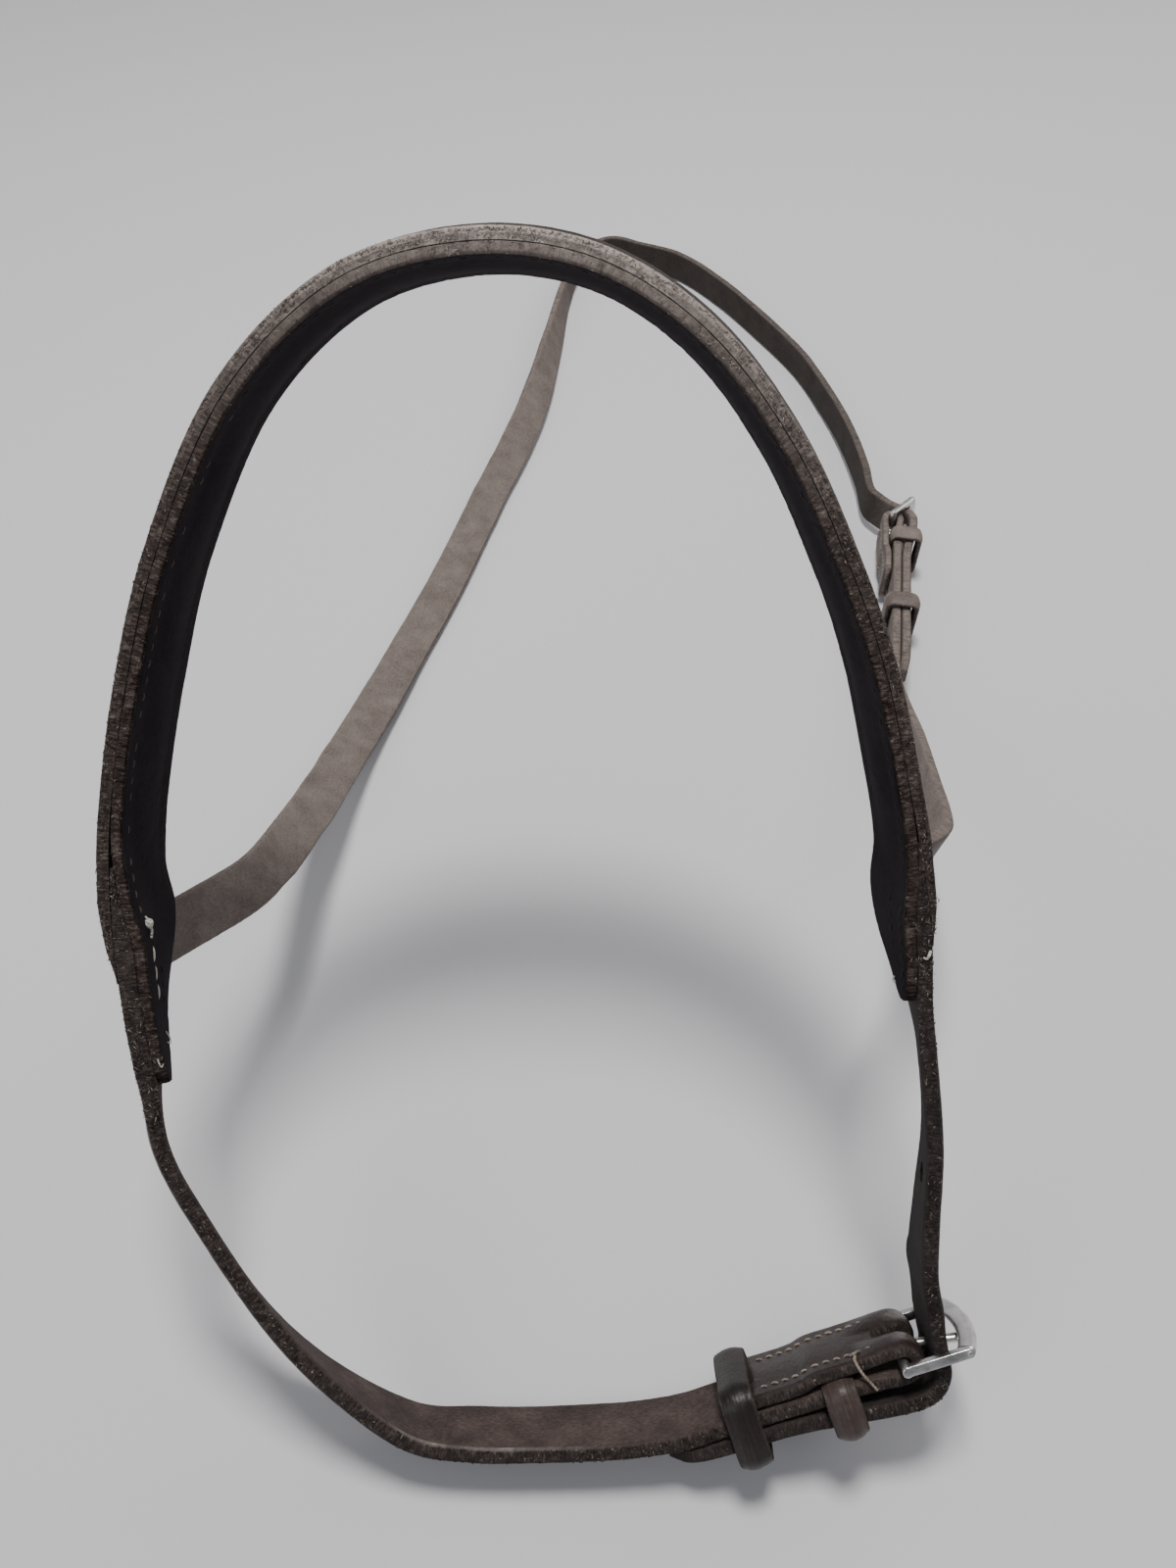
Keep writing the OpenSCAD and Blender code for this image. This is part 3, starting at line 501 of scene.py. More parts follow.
# ------------------------------------------------------------------- materials
class Nodes:
    def __init__(self, name):
        self.m = bpy.data.materials.new(name)
        self.m.use_nodes = True
        self.t = self.m.node_tree
        self.b = self.t.nodes["Principled BSDF"]

    def new(self, kind, **kw):
        n = self.t.nodes.new(kind)
        for k, v in kw.items():
            setattr(n, k, v)
        return n

    def link(self, a, b):
        self.t.links.new(a, b)

    def attr(self, name):
        return self.new("ShaderNodeAttribute", attribute_name=name)

    def math(self, op, a, b=None, c=None, clamp=False):
        n = self.new("ShaderNodeMath", operation=op, use_clamp=clamp)
        for s, v in zip(n.inputs, (a, b, c)):
            if v is None:
                continue
            if hasattr(v, "is_output"):
                self.link(v, s)
            else:
                s.default_value = v
        return n.outputs[0]

    def noise(self, vec, scale, detail=3.0, rough=0.55, dist=0.0):
        n = self.new("ShaderNodeTexNoise")
        n.inputs["Scale"].default_value = scale
        n.inputs["Detail"].default_value = detail
        n.inputs["Roughness"].default_value = rough
        n.inputs["Distortion"].default_value = dist
        if vec is not None:
            self.link(vec, n.inputs["Vector"])
        return n.outputs["Fac"]

    def voronoi(self, vec, scale, feature="F1"):
        n = self.new("ShaderNodeTexVoronoi", feature=feature)
        n.inputs["Scale"].default_value = scale
        self.link(vec, n.inputs["Vector"])
        return n.outputs["Distance"]

    def ramp(self, fac, stops):
        n = self.new("ShaderNodeValToRGB")
        e = n.color_ramp.elements
        while len(e) > 1:
            e.remove(e[-1])
        e[0].position, e[0].color = stops[0][0], (*stops[0][1], 1)
        for p, col in stops[1:]:
            x = e.new(p)
            x.color = (*col, 1)
        self.link(fac, n.inputs[0])
        return n.outputs[0]

    def mapr(self, v, a, b, c, d, clamp=True):
        n = self.new("ShaderNodeMapRange", clamp=clamp)
        self.link(v, n.inputs[0])
        for k, x in zip((1, 2, 3, 4), (a, b, c, d)):
            n.inputs[k].default_value = x
        return n.outputs[0]

    def mix(self, fac, a, b, mode="MIX"):
        n = self.new("ShaderNodeMix", data_type="RGBA", blend_type=mode)
        for s, v in ((n.inputs[0], fac), (n.inputs[6], a), (n.inputs[7], b)):
            if hasattr(v, "is_output"):
                self.link(v, s)
            elif isinstance(v, (int, float)):
                s.default_value = v
            else:
                s.default_value = (*v, 1)
        return n.outputs[2]

    def mixf(self, fac, a, b):
        n = self.new("ShaderNodeMix", data_type="FLOAT")
        for s, v in ((n.inputs[0], fac), (n.inputs[2], a), (n.inputs[3], b)):
            if hasattr(v, "is_output"):
                self.link(v, s)
            else:
                s.default_value = v
        return n.outputs[0]

    def scaled(self, vec, s):
        n = self.new("ShaderNodeVectorMath", operation="MULTIPLY")
        self.link(vec, n.inputs[0])
        n.inputs[1].default_value = s
        return n.outputs[0]

    def split(self, vec):
        n = self.new("ShaderNodeSeparateXYZ")
        self.link(vec, n.inputs[0])
        return n.outputs

    def bump(self, height, strength, dist, normal=None):
        n = self.new("ShaderNodeBump")
        n.inputs["Strength"].default_value = strength
        n.inputs["Distance"].default_value = dist
        self.link(height, n.inputs["Height"])
        if normal is not None:
            self.link(normal, n.inputs["Normal"])
        return n.outputs[0]


def leather(name, grain, flesh, edge, edge_hi, grain_rough=(0.46, 0.66), crease=0.0, speck=0.5, spec=0.2, stria=0.0,
            painted_shade=0.0, burnish_and_highlight=False, crown_highlight=0.0, relief=(0.22, 0.75, 1.25)):
    """Leather with a smooth side, a suede side and raw fibrous edges, chosen by the mesh's own attributes.
    grain, flesh and edge are (dark, mid, light) triples."""
    N = Nodes(name)
    obj = N.new("ShaderNodeTexCoord").outputs["Object"]
    st = N.attr("strap").outputs["Vector"]
    kd = N.split(N.attr("kind").outputs["Vector"])
    k_edge, k_grain, k_wear_and_light = kd[0], kd[1], kd[2]
    big = N.noise(obj, 60, 4, 0.6)
    fine = N.noise(obj, 1100, 4, 0.65)
    pore = N.voronoi(obj, 1500)
    # smooth side
    g_mix = N.math("ADD", N.math("MULTIPLY", big, 0.6), N.math("MULTIPLY", fine, 0.4))
    if stria:
        lines = N.noise(N.scaled(st, (0.07, 1.5, 0.0)), 1.0, 4, 0.65)
        g_mix = N.math("ADD", N.math("MULTIPLY", g_mix, 0.5), N.math("MULTIPLY", lines, 0.5))
    g_col = N.ramp(g_mix, [(0.32, grain[0]), (0.5, grain[1]), (0.68, grain[2])])
    # suede side: short fibres, blotches
    fib = N.noise(N.scaled(st, (0.8, 1.5, 1.0)), 1.2, 6, 0.75)
    blot = N.noise(obj, 130, 4, 0.62)
    f_mix = N.math("ADD", N.math("MULTIPLY", fib, 0.6), N.math("MULTIPLY", blot, 0.4))
    f_col = N.ramp(f_mix, [(0.36, flesh[0]), (0.5, flesh[1]), (0.64, flesh[2])])
    # raw edge: fibres across the thickness, pale specks
    e_fib = N.noise(N.scaled(st, (2.2, 0.9, 0.5)), 1.0, 6, 0.78)
    e_grain = N.noise(obj, 420, 4, 0.7)
    e_mix = N.math("ADD", N.math("MULTIPLY", e_fib, 0.72), N.math("MULTIPLY", e_grain, 0.28))
    e_highlight_noise = N.math("ADD", N.math("MULTIPLY", e_fib, 0.3), N.math("MULTIPLY", e_grain, 0.7))
    e_col = N.ramp(e_mix, [(0.39, edge[0]), (0.5, edge[1]), (0.61, edge[2])])
    # painted highlight: edges pale toward edge_hi where the third kind channel is set, which is the crown of the
    # nosepiece
    if not (painted_shade or burnish_and_highlight):
        e_col = N.mix(N.math("MULTIPLY", k_wear_and_light, N.mapr(e_highlight_noise, 0.36, 0.6, 0.45, 0.95)), e_col, edge_hi)
    spk = N.mapr(N.noise(obj, 1000, 2, 0.5), 0.68, 0.76, 0.0, speck)
    e_col = N.mix(N.math("MULTIPLY", spk, k_edge), e_col, (0.4, 0.36, 0.31))
    face = N.mix(k_grain, f_col, g_col)
    # painted highlight: over the crown, the face pales toward edge_hi near the near edge
    if crown_highlight:
        by_edge = N.mapr(N.split(st)[1], 0.6, 4.0, crown_highlight, 0.0)
        face = N.mix(N.math("MULTIPLY", N.math("MULTIPLY", by_edge, k_wear_and_light), N.mapr(fine, 0.35, 0.62, 0.35, 1.0)), face, edge_hi)
    # painted shade: positive third kind values darken the face, and the edges less, on the head strap's right-hand run;
    # negative values wear the grain to flesh colour
    if painted_shade:
        face = N.mix(N.mapr(k_wear_and_light, -1.0, 0.0, 1.0, 0.0), face, f_col)
        shade = N.mapr(k_wear_and_light, 0.0, 1.0, 1.0, 1.0 - painted_shade)
        face = N.mix(1.0, face, N.mixf(k_grain, shade, N.mapr(k_wear_and_light, 0.0, 1.0, 1.0, 0.6)), "MULTIPLY")
        e_col = N.mix(1.0, e_col, N.mapr(k_wear_and_light, 0.0, 1.0, 1.0, 0.62), "MULTIPLY")
    # worn corners: the border of the edge is paler
    rim = N.math("MULTIPLY", N.mapr(k_edge, 0.05, 0.35, 0.0, 1.0), N.mapr(k_edge, 0.5, 0.95, 1.0, 0.0))
    col = N.mix(N.mapr(k_edge, 0.15, 0.75, 0.0, 1.0), face, e_col)
    col = N.mix(N.math("MULTIPLY", rim, N.mapr(big, 0.35, 0.65, 0.02, 0.22)), col, edge[2])
    r_face = N.mixf(k_grain, 0.92, N.mapr(g_mix, 0.3, 0.7, *grain_rough))
    rough = N.mixf(N.mapr(k_edge, 0.2, 0.8, 0.0, 1.0), r_face, 0.9)
    # relief
    h_g = N.math("ADD", N.math("MULTIPLY", pore, 0.4), N.math("MULTIPLY", fine, 0.6))
    if stria:
        h_g = N.math("ADD", h_g, N.math("MULTIPLY", lines, stria))
    if crease:
        cr = N.noise(N.scaled(st, (0.55, 0.05, 0.0)), 1.0, 3, 0.6, 0.4)
        h_g = N.math("ADD", h_g, N.math("MULTIPLY", cr, crease))
    h_f = N.math("ADD", N.math("MULTIPLY", fib, 0.9), N.math("MULTIPLY", fine, 0.7))
    h_e = N.math("ADD", N.math("MULTIPLY", e_fib, 1.3), N.math("MULTIPLY", fine, 0.7))
    h_g, h_f, h_e = (N.math("MULTIPLY", h, k) for h, k in zip((h_g, h_f, h_e), relief))
    h = N.mixf(N.mapr(k_edge, 0.2, 0.7, 0.0, 1.0), N.mixf(k_grain, h_f, h_g), h_e)
    # painted highlight: the rubbed places pale toward a light colour; they are also smoother and glossier
    if burnish_and_highlight:
        col = N.mix(N.math("MULTIPLY", k_wear_and_light, N.mapr(fine, 0.35, 0.6, 0.3, 0.8)), col, (0.21, 0.185, 0.17))
        rough = N.mixf(k_wear_and_light, rough, 0.22)
        h = N.mixf(k_wear_and_light, h, N.math("MULTIPLY", h, 0.12))
    N.link(col, N.b.inputs["Base Color"])
    N.link(rough, N.b.inputs["Roughness"])
    N.b.inputs["Specular IOR Level"].default_value = spec
    N.link(N.bump(h, 0.6, 0.0006), N.b.inputs["Normal"])
    return N.m


def thread_mat(name, col):
    N = Nodes(name)
    obj = N.new("ShaderNodeTexCoord").outputs["Object"]
    st = N.split(N.attr("strap").outputs["Vector"])
    tw = N.math("SINE", N.math("ADD", N.math("MULTIPLY", st[0], 9.0), N.math("MULTIPLY", st[1], 6.2832)))
    dirt = N.noise(obj, 260, 4, 0.65)
    c = N.ramp(dirt, [(0.3, tuple(x * 0.4 for x in col)), (0.5, tuple(x * 0.8 for x in col)), (0.7, col)])
    # painted shade: darker in the grooves of the twist
    c = N.mix(N.mapr(tw, -1, 1, 0.3, 0.0), c, tuple(x * 0.35 for x in col))
    N.link(c, N.b.inputs["Base Color"])
    N.b.inputs["Roughness"].default_value = 0.75
    N.b.inputs["Specular IOR Level"].default_value = 0.25
    N.link(N.bump(tw, 0.5, 0.0002), N.b.inputs["Normal"])
    return N.m


def fibre_mat(name, dark, mid, light, white, highlight_col):
    """Loose leather fibres: each has its own shade, from the kind attribute."""
    N = Nodes(name)
    obj = N.new("ShaderNodeTexCoord").outputs["Object"]
    kd = N.split(N.attr("kind").outputs["Vector"])
    c = N.ramp(kd[1], [(0.0, dark), (0.55, mid), (0.9, light), (0.985, white)])
    # painted highlight: fibres pale toward highlight_col where the third kind channel is set (the crown)
    c = N.mix(N.math("MULTIPLY", kd[2], 0.75), c, highlight_col)
    c = N.mix(N.mapr(N.noise(obj, 900, 3, 0.6), 0.35, 0.65, 0.5, 0.0), c, dark)
    N.link(c, N.b.inputs["Base Color"])
    N.b.inputs["Roughness"].default_value = 0.85
    N.b.inputs["Specular IOR Level"].default_value = 0.2
    return N.m


def steel_mat(name, base, rough):
    N = Nodes(name)
    obj = N.new("ShaderNodeTexCoord").outputs["Object"]
    fine = N.noise(obj, 2600, 3, 0.6)
    brush = N.noise(N.scaled(obj, (260, 2600, 2600)), 1.0, 3, 0.6)
    blot = N.noise(obj, 240, 4, 0.6)
    N.link(N.ramp(blot, [(0.3, tuple(x * 0.62 for x in base)), (0.55, base), (0.75, tuple(min(1, x * 1.12) for x in base))]), N.b.inputs["Base Color"])
    N.b.inputs["Metallic"].default_value = 1.0
    N.link(N.mapr(N.math("ADD", N.math("MULTIPLY", brush, 0.6), N.math("MULTIPLY", blot, 0.4)), 0.3, 0.7, *rough), N.b.inputs["Roughness"])
    N.link(N.bump(N.math("ADD", brush, N.math("MULTIPLY", fine, 0.6)), 0.25, 0.00012), N.b.inputs["Normal"])
    return N.m


# the pale last colour (edge_hi) of the nosepiece and lining leathers is the crown's painted highlight
M_NOSE = leather("nose_leather", ((0.013, 0.0095, 0.008), (0.027, 0.02, 0.0168), (0.054, 0.042, 0.035)),
                 ((0.026, 0.0195, 0.0163), (0.054, 0.0425, 0.036), (0.108, 0.087, 0.074)),
                 ((0.0114, 0.008, 0.0072), (0.0486, 0.0352, 0.031), (0.162, 0.126, 0.11)), (0.56, 0.48, 0.435), speck=0.5, crown_highlight=0.75)
# dark lining leather; the faint purple cast of its smooth side is painted bounce light
M_LINING = leather("lining_leather", ((0.011, 0.0088, 0.0105), (0.019, 0.0152, 0.0178), (0.03, 0.0245, 0.028)),
                   ((0.016, 0.0125, 0.01), (0.034, 0.027, 0.022), (0.07, 0.057, 0.047)),
                   ((0.0105, 0.0075, 0.0068), (0.043, 0.0318, 0.0285), (0.138, 0.109, 0.0965)), (0.31, 0.262, 0.237), crease=1.2, speck=0.4,
                   grain_rough=(0.6, 0.75), spec=0.008)
M_CHIN = leather("chin_leather", ((0.012, 0.0083, 0.0074), (0.026, 0.0182, 0.0162), (0.052, 0.0382, 0.0336)),
                 ((0.0225, 0.0154, 0.0137), (0.051, 0.0352, 0.0312), (0.1, 0.0718, 0.0635)),
                 ((0.0082, 0.0059, 0.0054), (0.03, 0.0214, 0.019), (0.1, 0.0762, 0.0666)), (0.2, 0.17, 0.145), speck=0.6,
                 grain_rough=(0.22, 0.42), spec=0.32, crease=0.8, burnish_and_highlight=True)
# a darker copy of the chin leather, as painted shade on the billet
M_BILLET = leather("billet_leather", ((0.0075, 0.0055, 0.0048), (0.016, 0.0116, 0.01), (0.034, 0.026, 0.022)),
                   ((0.0075, 0.0052, 0.0047), (0.017, 0.012, 0.0106), (0.036, 0.0265, 0.0232)),
                   ((0.0062, 0.0045, 0.0041), (0.021, 0.0151, 0.0136), (0.07, 0.0532, 0.0472)), (0.2, 0.17, 0.145), speck=0.6,
                   grain_rough=(0.26, 0.46), spec=0.33)
M_HEAD = leather("head_leather", ((0.02, 0.0148, 0.0128), (0.036, 0.0277, 0.0245), (0.066, 0.0525, 0.046)),
                 ((0.105, 0.085, 0.0755), (0.16, 0.132, 0.1185), (0.215, 0.181, 0.1635)),
                 ((0.082, 0.0655, 0.0575), (0.165, 0.1335, 0.119), (0.26, 0.2155, 0.192)), (0.3, 0.27, 0.24), speck=0.25, painted_shade=0.72)
M_KEEP = leather("keeper_leather", ((0.0075, 0.0052, 0.0046), (0.0165, 0.0116, 0.0102), (0.036, 0.0266, 0.0232)),
                 ((0.014, 0.0106, 0.0088), (0.032, 0.0245, 0.02), (0.062, 0.049, 0.041)),
                 ((0.0095, 0.007, 0.006), (0.029, 0.0217, 0.0184), (0.075, 0.0595, 0.05)), (0.16, 0.13, 0.11), grain_rough=(0.3, 0.5), spec=0.34,
                 speck=0.3, stria=1.6)
M_KEEP_FIX = leather("sewn_keeper_leather", ((0.022, 0.0152, 0.0132), (0.05, 0.0352, 0.0308), (0.095, 0.07, 0.0615)),
                     ((0.014, 0.0106, 0.0088), (0.032, 0.0245, 0.02), (0.062, 0.049, 0.041)),
                     ((0.014, 0.0098, 0.0088), (0.04, 0.0286, 0.0252), (0.09, 0.0694, 0.0606)), (0.2, 0.17, 0.15), grain_rough=(0.32, 0.52), spec=0.3,
                     speck=0.3, stria=0.8)
M_KEEP_HEAD = leather("head_keeper_leather", ((0.095, 0.0735, 0.065), (0.16, 0.127, 0.1125), (0.23, 0.1885, 0.168)),
                      ((0.07, 0.0553, 0.0485), (0.13, 0.104, 0.092), (0.2, 0.165, 0.147)),
                      ((0.055, 0.043, 0.0378), (0.11, 0.0875, 0.0774), (0.19, 0.155, 0.137)), (0.3, 0.25, 0.225), grain_rough=(0.45, 0.65), spec=0.25,
                      speck=0.2)
M_SEAM = thread_mat("dark_waxed_thread", (0.13, 0.113, 0.102))
M_BLACK = thread_mat("black_thread", (0.03, 0.025, 0.023))
M_THREAD = thread_mat("waxed_thread", (0.34, 0.285, 0.225))
M_WHITE = thread_mat("white_thread", (0.74, 0.7, 0.63))
M_STEEL = steel_mat("buckle_steel", (0.66, 0.65, 0.63), (0.22, 0.44))
# the last colour of each fibre material is the crown's painted highlight
M_FUZZ = fibre_mat("leather_fibre", (0.019, 0.0138, 0.0121), (0.07, 0.052, 0.0455), (0.2, 0.16, 0.14), (0.5, 0.445, 0.4), (0.56, 0.485, 0.44))
M_FUZZ_DARK = fibre_mat("chin_fibre", (0.012, 0.0089, 0.0079), (0.041, 0.0305, 0.0268), (0.116, 0.0923, 0.0808), (0.4, 0.353, 0.315), (0.12, 0.1, 0.084))


def crown_highlight_mask(u0, u1):
    """Painted highlight: paler leather over the crown of the nosepiece."""
    def f(u):
        x = np.clip((u - 10 - u0) / (u1 - u0), 0, 1)
        return np.clip(np.sin(np.pi * x), 0, 1) ** 3.6
    return f


def done(ob, body, mat, slot, *nodes):
    ob.data.materials.clear()
    ob.data.materials.append(mat)
    if nodes:
        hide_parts(*nodes)
    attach(ob, body)
    return ob


# ------------------------------------------------------------------- nosepiece
def swell(a, W):
    m = 5.5
    f = (a - m) / np.maximum(W - 2 * m, 1)
    return np.where((f <= 0) | (f >= 1), 0, np.abs(np.sin(np.pi * np.clip(f, 0, 1))) ** 1.2)


NOSE = Run(NOSE_ST, 0.55)
# mask for the painted highlight on the crown, carried to the nosepiece layers and their fibres
CROWN_HIGHLIGHT = crown_highlight_mask(70, NOSE.L - 60)


def nose_layer(name, i0, i1, lo, hi, dsw, grain, rad_lo, rad_hi, seed, tip=0.0, tip_near=0.42, tip_far=0.42, crease=0.0, bead=0.0, wide=None):
    """One layer of the nosepiece between heights lo and hi (functions of the station table)."""
    nf, nc, ne = 30, 5, 4
    u = NOSE.u[i0:i1]
    Q = NOSE.q[i0:i1]
    p, b, n = NOSE.p[i0:i1], NOSE.b[i0:i1], NOSE.n[i0:i1]
    W = Q[:, 6].copy()
    if wide:
        W = W + wide(u)
    near = np.zeros(len(u))
    if tip:
        for e in (u - u[0], u[-1] - u):
            k = np.clip(1 - e / tip, 0, 1)
            s = 1 - np.sqrt(np.clip(1 - k ** 2, 0, 1))
            near += s * W * tip_near
            W = W * (1 - (tip_near + tip_far) * s)
    L, H = lo(Q), hi(Q)
    pr = rect_profile(nf, nc, ne)
    T = H - L
    r = np.minimum(np.where(pr[:, 5] < 0, rad_lo, rad_hi)[None, :], 0.42 * T[:, None])
    a = near[:, None] + pr[None, :, 0] * W[:, None] + pr[None, :, 1] * r
    mid = (L + H) / 2
    h = mid[:, None] + pr[None, :, 2] * (T / 2)[:, None] + pr[None, :, 3] * r
    # crowned cut edge
    edge = pr[:, 6]
    a = a + np.sign(pr[None, :, 4]) * bead * edge[None, :] * (1 - (pr[None, :, 2] * 1.0) ** 2)
    sw = swell(a - near[:, None], W[:, None]) * (Q[:, 9] * dsw)[:, None]
    h = h + sw
    R = p[:, None, :] + a[..., None] * b[:, None, :] + h[..., None] * n[:, None, :]
    nrm = pr[None, :, 4, None] * b[:, None, :] + pr[None, :, 5, None] * n[:, None, :]
    m, c = R.shape[:2]
    flat = R.reshape(-1, 3)
    ed = np.tile(edge, m)
    uu = np.repeat(u, c)
    low = np.stack([uu * 0.09, np.full(m * c, seed * 3.7), np.sign(np.tile(pr[:, 4], m)) * 2.1], 1)
    d = ed * (0.2 * fbm(flat * np.array([1.3, 1.3, 1.3]), seed, 3) + 0.16 * vnoise(low, seed + 3)) + (1 - ed) * 0.04 * fbm(flat * 0.6, seed + 8, 2)
    if crease:
        cr = vnoise(np.stack([uu * 0.42, a.reshape(-1) * 0.05, np.full(m * c, 9.0)], 1), seed + 21)
        d += (1 - ed) * crease * -np.clip(np.abs(cr) * -6 + 1, 0, 1)
    flat = flat + nrm.reshape(-1, 3) * d[:, None]
    strap = np.stack([uu, a.reshape(-1), h.reshape(-1)], 1)
    g = np.clip(0.5 + 0.5 * grain * np.sign(np.tile(pr[:, 5], m)), 0, 1)
    kind = np.stack([ed, g, CROWN_HIGHLIGHT(uu)], 1)
    ext = lambda A: np.concatenate([A, [A[:c].mean(0)], [A[-c:].mean(0)]])
    kind = ext(kind)
    kind[-2:, 0] = 1
    q, t = loft(flat.reshape(m, c, 3))
    return make_mesh(name, ext(flat), q, t, ext(strap), kind)


def idx(u):
    return int(np.argmin(np.abs(NOSE.u - u)))


def sample_u(i):
    """Length along the nosepiece at sample i."""
    return float(np.interp(i, NOSE.q[:, 10], NOSE.u))


def station_u(i):
    return sample_u(5 * i)


U0, U1 = sample_u(11), sample_u(93)


def band_t(i):
    """Thickness of the outer layer with its feathered ends."""
    return outer_t(i) * (0.2 + 0.8 * smooth(i, 11, 15)) * (1 - 0.8 * smooth(i, 88, 93))


band = nose_layer("nose_band_leather", idx(U0), idx(U1), lambda Q: Q[:, 7], lambda Q: Q[:, 7] + band_t(Q[:, 10]), RAISE, 1, 0.12, 0.95, 11, tip=7.0, tip_near=0.0, tip_far=0.5, bead=0.12)
done(band, "noseband", M_NOSE, "bridle_leather", "nose_band")
lining = nose_layer("nose_lining_leather", 0, len(NOSE.u), lambda Q: Q[:, 8] - LINING_T, lambda Q: Q[:, 8], -0.6, -1, 0.85, 0.15, 12, tip=6.0, crease=0.1, bead=0.12,
                    wide=lambda u: 5.2 * smooth(NOSE.L - u, 2.5, 8.5) * (1 - smooth(NOSE.L - u, 11, 27)))
done(lining, "noseband", M_LINING, "lining_leather", "nose_lining")

pad_nodes = Bag()
pi0, pi1 = idx(station_u(5) + 3), idx(station_u(16) - 3)
pf = np.linspace(0.22, 0.78, 9)
pq = NOSE.q[pi0:pi1:3]
pW = pq[:, 6][:, None]
plo = -0.6 * swell(pf[None, :] * pW, pW) + 0.05
phi = RAISE * swell(pf[None, ::-1] * pW, pW) - 0.05
pp, pb, pn = NOSE.p[pi0:pi1:3], NOSE.b[pi0:pi1:3], NOSE.n[pi0:pi1:3]
pr_lo = pp[:, None, :] + (pf[None, :] * pW)[..., None] * pb[:, None, :] + plo[..., None] * pn[:, None, :]
pr_hi = pp[:, None, :] + (pf[None, ::-1] * pW)[..., None] * pb[:, None, :] + phi[..., None] * pn[:, None, :]
pad_nodes.add(np.concatenate([pr_lo, pr_hi], 1)[:, ::-1])
pad = pad_nodes.build("nose_padding_felt")
PADM = Nodes("felt_padding")
_po = PADM.new("ShaderNodeTexCoord").outputs["Object"]
PADM.link(PADM.ramp(PADM.noise(_po, 500, 4, 0.7), [(0.3, (0.2, 0.18, 0.17)), (0.7, (0.36, 0.33, 0.31))]), PADM.b.inputs["Base Color"])
PADM.b.inputs["Roughness"].default_value = 0.95
done(pad, "noseband", PADM.m, "padding", "nose_padding")


def seam_rows(name, rows, mat, nodes, extra=None):
    bag = Bag()
    for (run, u0, u1, a, hgt, c, sign, pitch, length, r, seed, drop) in rows:
        k = int((u1 - u0) / pitch)
        for i in range(k + 1):
            u = u0 + i * pitch
            if hash01(i, seed + 50) < drop:
                continue
            aa = a(u) if callable(a) else a
            stitch(bag, run, u, length * (0.9 + 0.2 * float(hash01(i, seed + 60))), aa, hgt, sign, r, seed + i, skew=0.18, c=c)
    if extra:
        extra(bag)
    ob = bag.build(name)
    return done(ob, "noseband", mat, "thread", *nodes)


def col(run, j):
    return lambda u: np.interp(u, run.u, run.q[:, j])


lin_h = lambda u: np.interp(u, NOSE.u, NOSE.q[:, 8]) - LINING_T
out_h = lambda u: np.interp(u, NOSE.u, NOSE.q[:, 7]) + band_t(np.interp(u, NOSE.u, NOSE.q[:, 10]))
far_a = lambda u: float(np.interp(u, NOSE.u, NOSE.q[:, 6])) - SEAM
SU0, SU1 = sample_u(18), sample_u(86)
seam_rows("nose_seam_near", [(NOSE, SU0, 128.0, SEAM, 0.16, lin_h, -1, 3.1, 2.1, 0.24, 100, 0.22),
                             (NOSE, SU0, SU1, SEAM, -0.05, out_h, 1, 3.1, 2.3, 0.3, 200, 0.03)], M_SEAM, ["nose_stitching_near"])
seam_rows("nose_seam_near_dark", [(NOSE, 130.0, SU1, SEAM, 0.16, lin_h, -1, 3.1, 2.1, 0.24, 130, 0.0)], M_BLACK, ["nose_stitching_near"])
seam_rows("nose_seam_far", [(NOSE, SU0, SU1, far_a, -0.05, out_h, 1, 3.1, 2.3, 0.3, 400, 0.03)], M_SEAM, ["nose_stitching_far"])
seam_rows("nose_seam_far_dark", [(NOSE, SU0, SU1, far_a, 0.2, lin_h, -1, 3.1, 2.2, 0.22, 300, 0.0)], M_BLACK, ["nose_stitching_far"])


def on_lining(u, a, lift):
    p, t, b, n, q = NOSE.at(u)
    return p[0] + a * b[0] + (q[0, 8] - LINING_T - lift) * n[0]


def on_near(u, h, out):
    """Point on the near edge of the nosepiece at height h, standing out by a little."""
    p, t, b, n, q = NOSE.at(u)
    return p[0] - out * b[0] + h * n[0]


def left_extra(bag):
    # knot and loose tails at the top of the joint, curls by the tip
    p, t, b, n, q = NOSE.at(32.0)
    k0 = on_lining(32.0, 4.5, 0.45)
    for j in range(3):
        g = np.linspace(0, 2 * math.pi, 15)
        ax = unit(t[0] * math.cos(j * 1.1) + b[0] * math.sin(j * 1.1))
        ay = unit(np.cross(ax, -n[0]) * 0.5 - n[0] * 0.9)
        bag.add(tube_rings(np.array([k0 + 0.62 * math.cos(x) * ax + 0.5 * math.sin(x) * ay for x in g[:-1]]), 0.36, 7), closed=True, seed=0.2 * j)
    strand(bag, [k0, on_lining(32.9, 4.2, 0.55), on_lining(33.4, 4.5, 0.2)], 0.3, 0.16, 0.4)
    strand(bag, [k0, on_lining(30.6, 4.6, 0.55), on_lining(29.0, 4.9, 0.1)], 0.34, 0.24, 0.6)
    strand(bag, [on_lining(8.4, 9.6, 0.0), on_lining(7.0, 9.9, 0.5), on_lining(6.0, 9.2, 0.6), on_lining(6.6, 8.4, 0.1)], 0.16, 0.09, 0.9)
    strand(bag, [on_near(6.6, -4.2, -0.3), on_near(5.8, -4.3, 0.45), on_near(4.8, -4.6, 0.4), on_near(5.2, -5.0, -0.1)], 0.17, 0.09, 0.1)


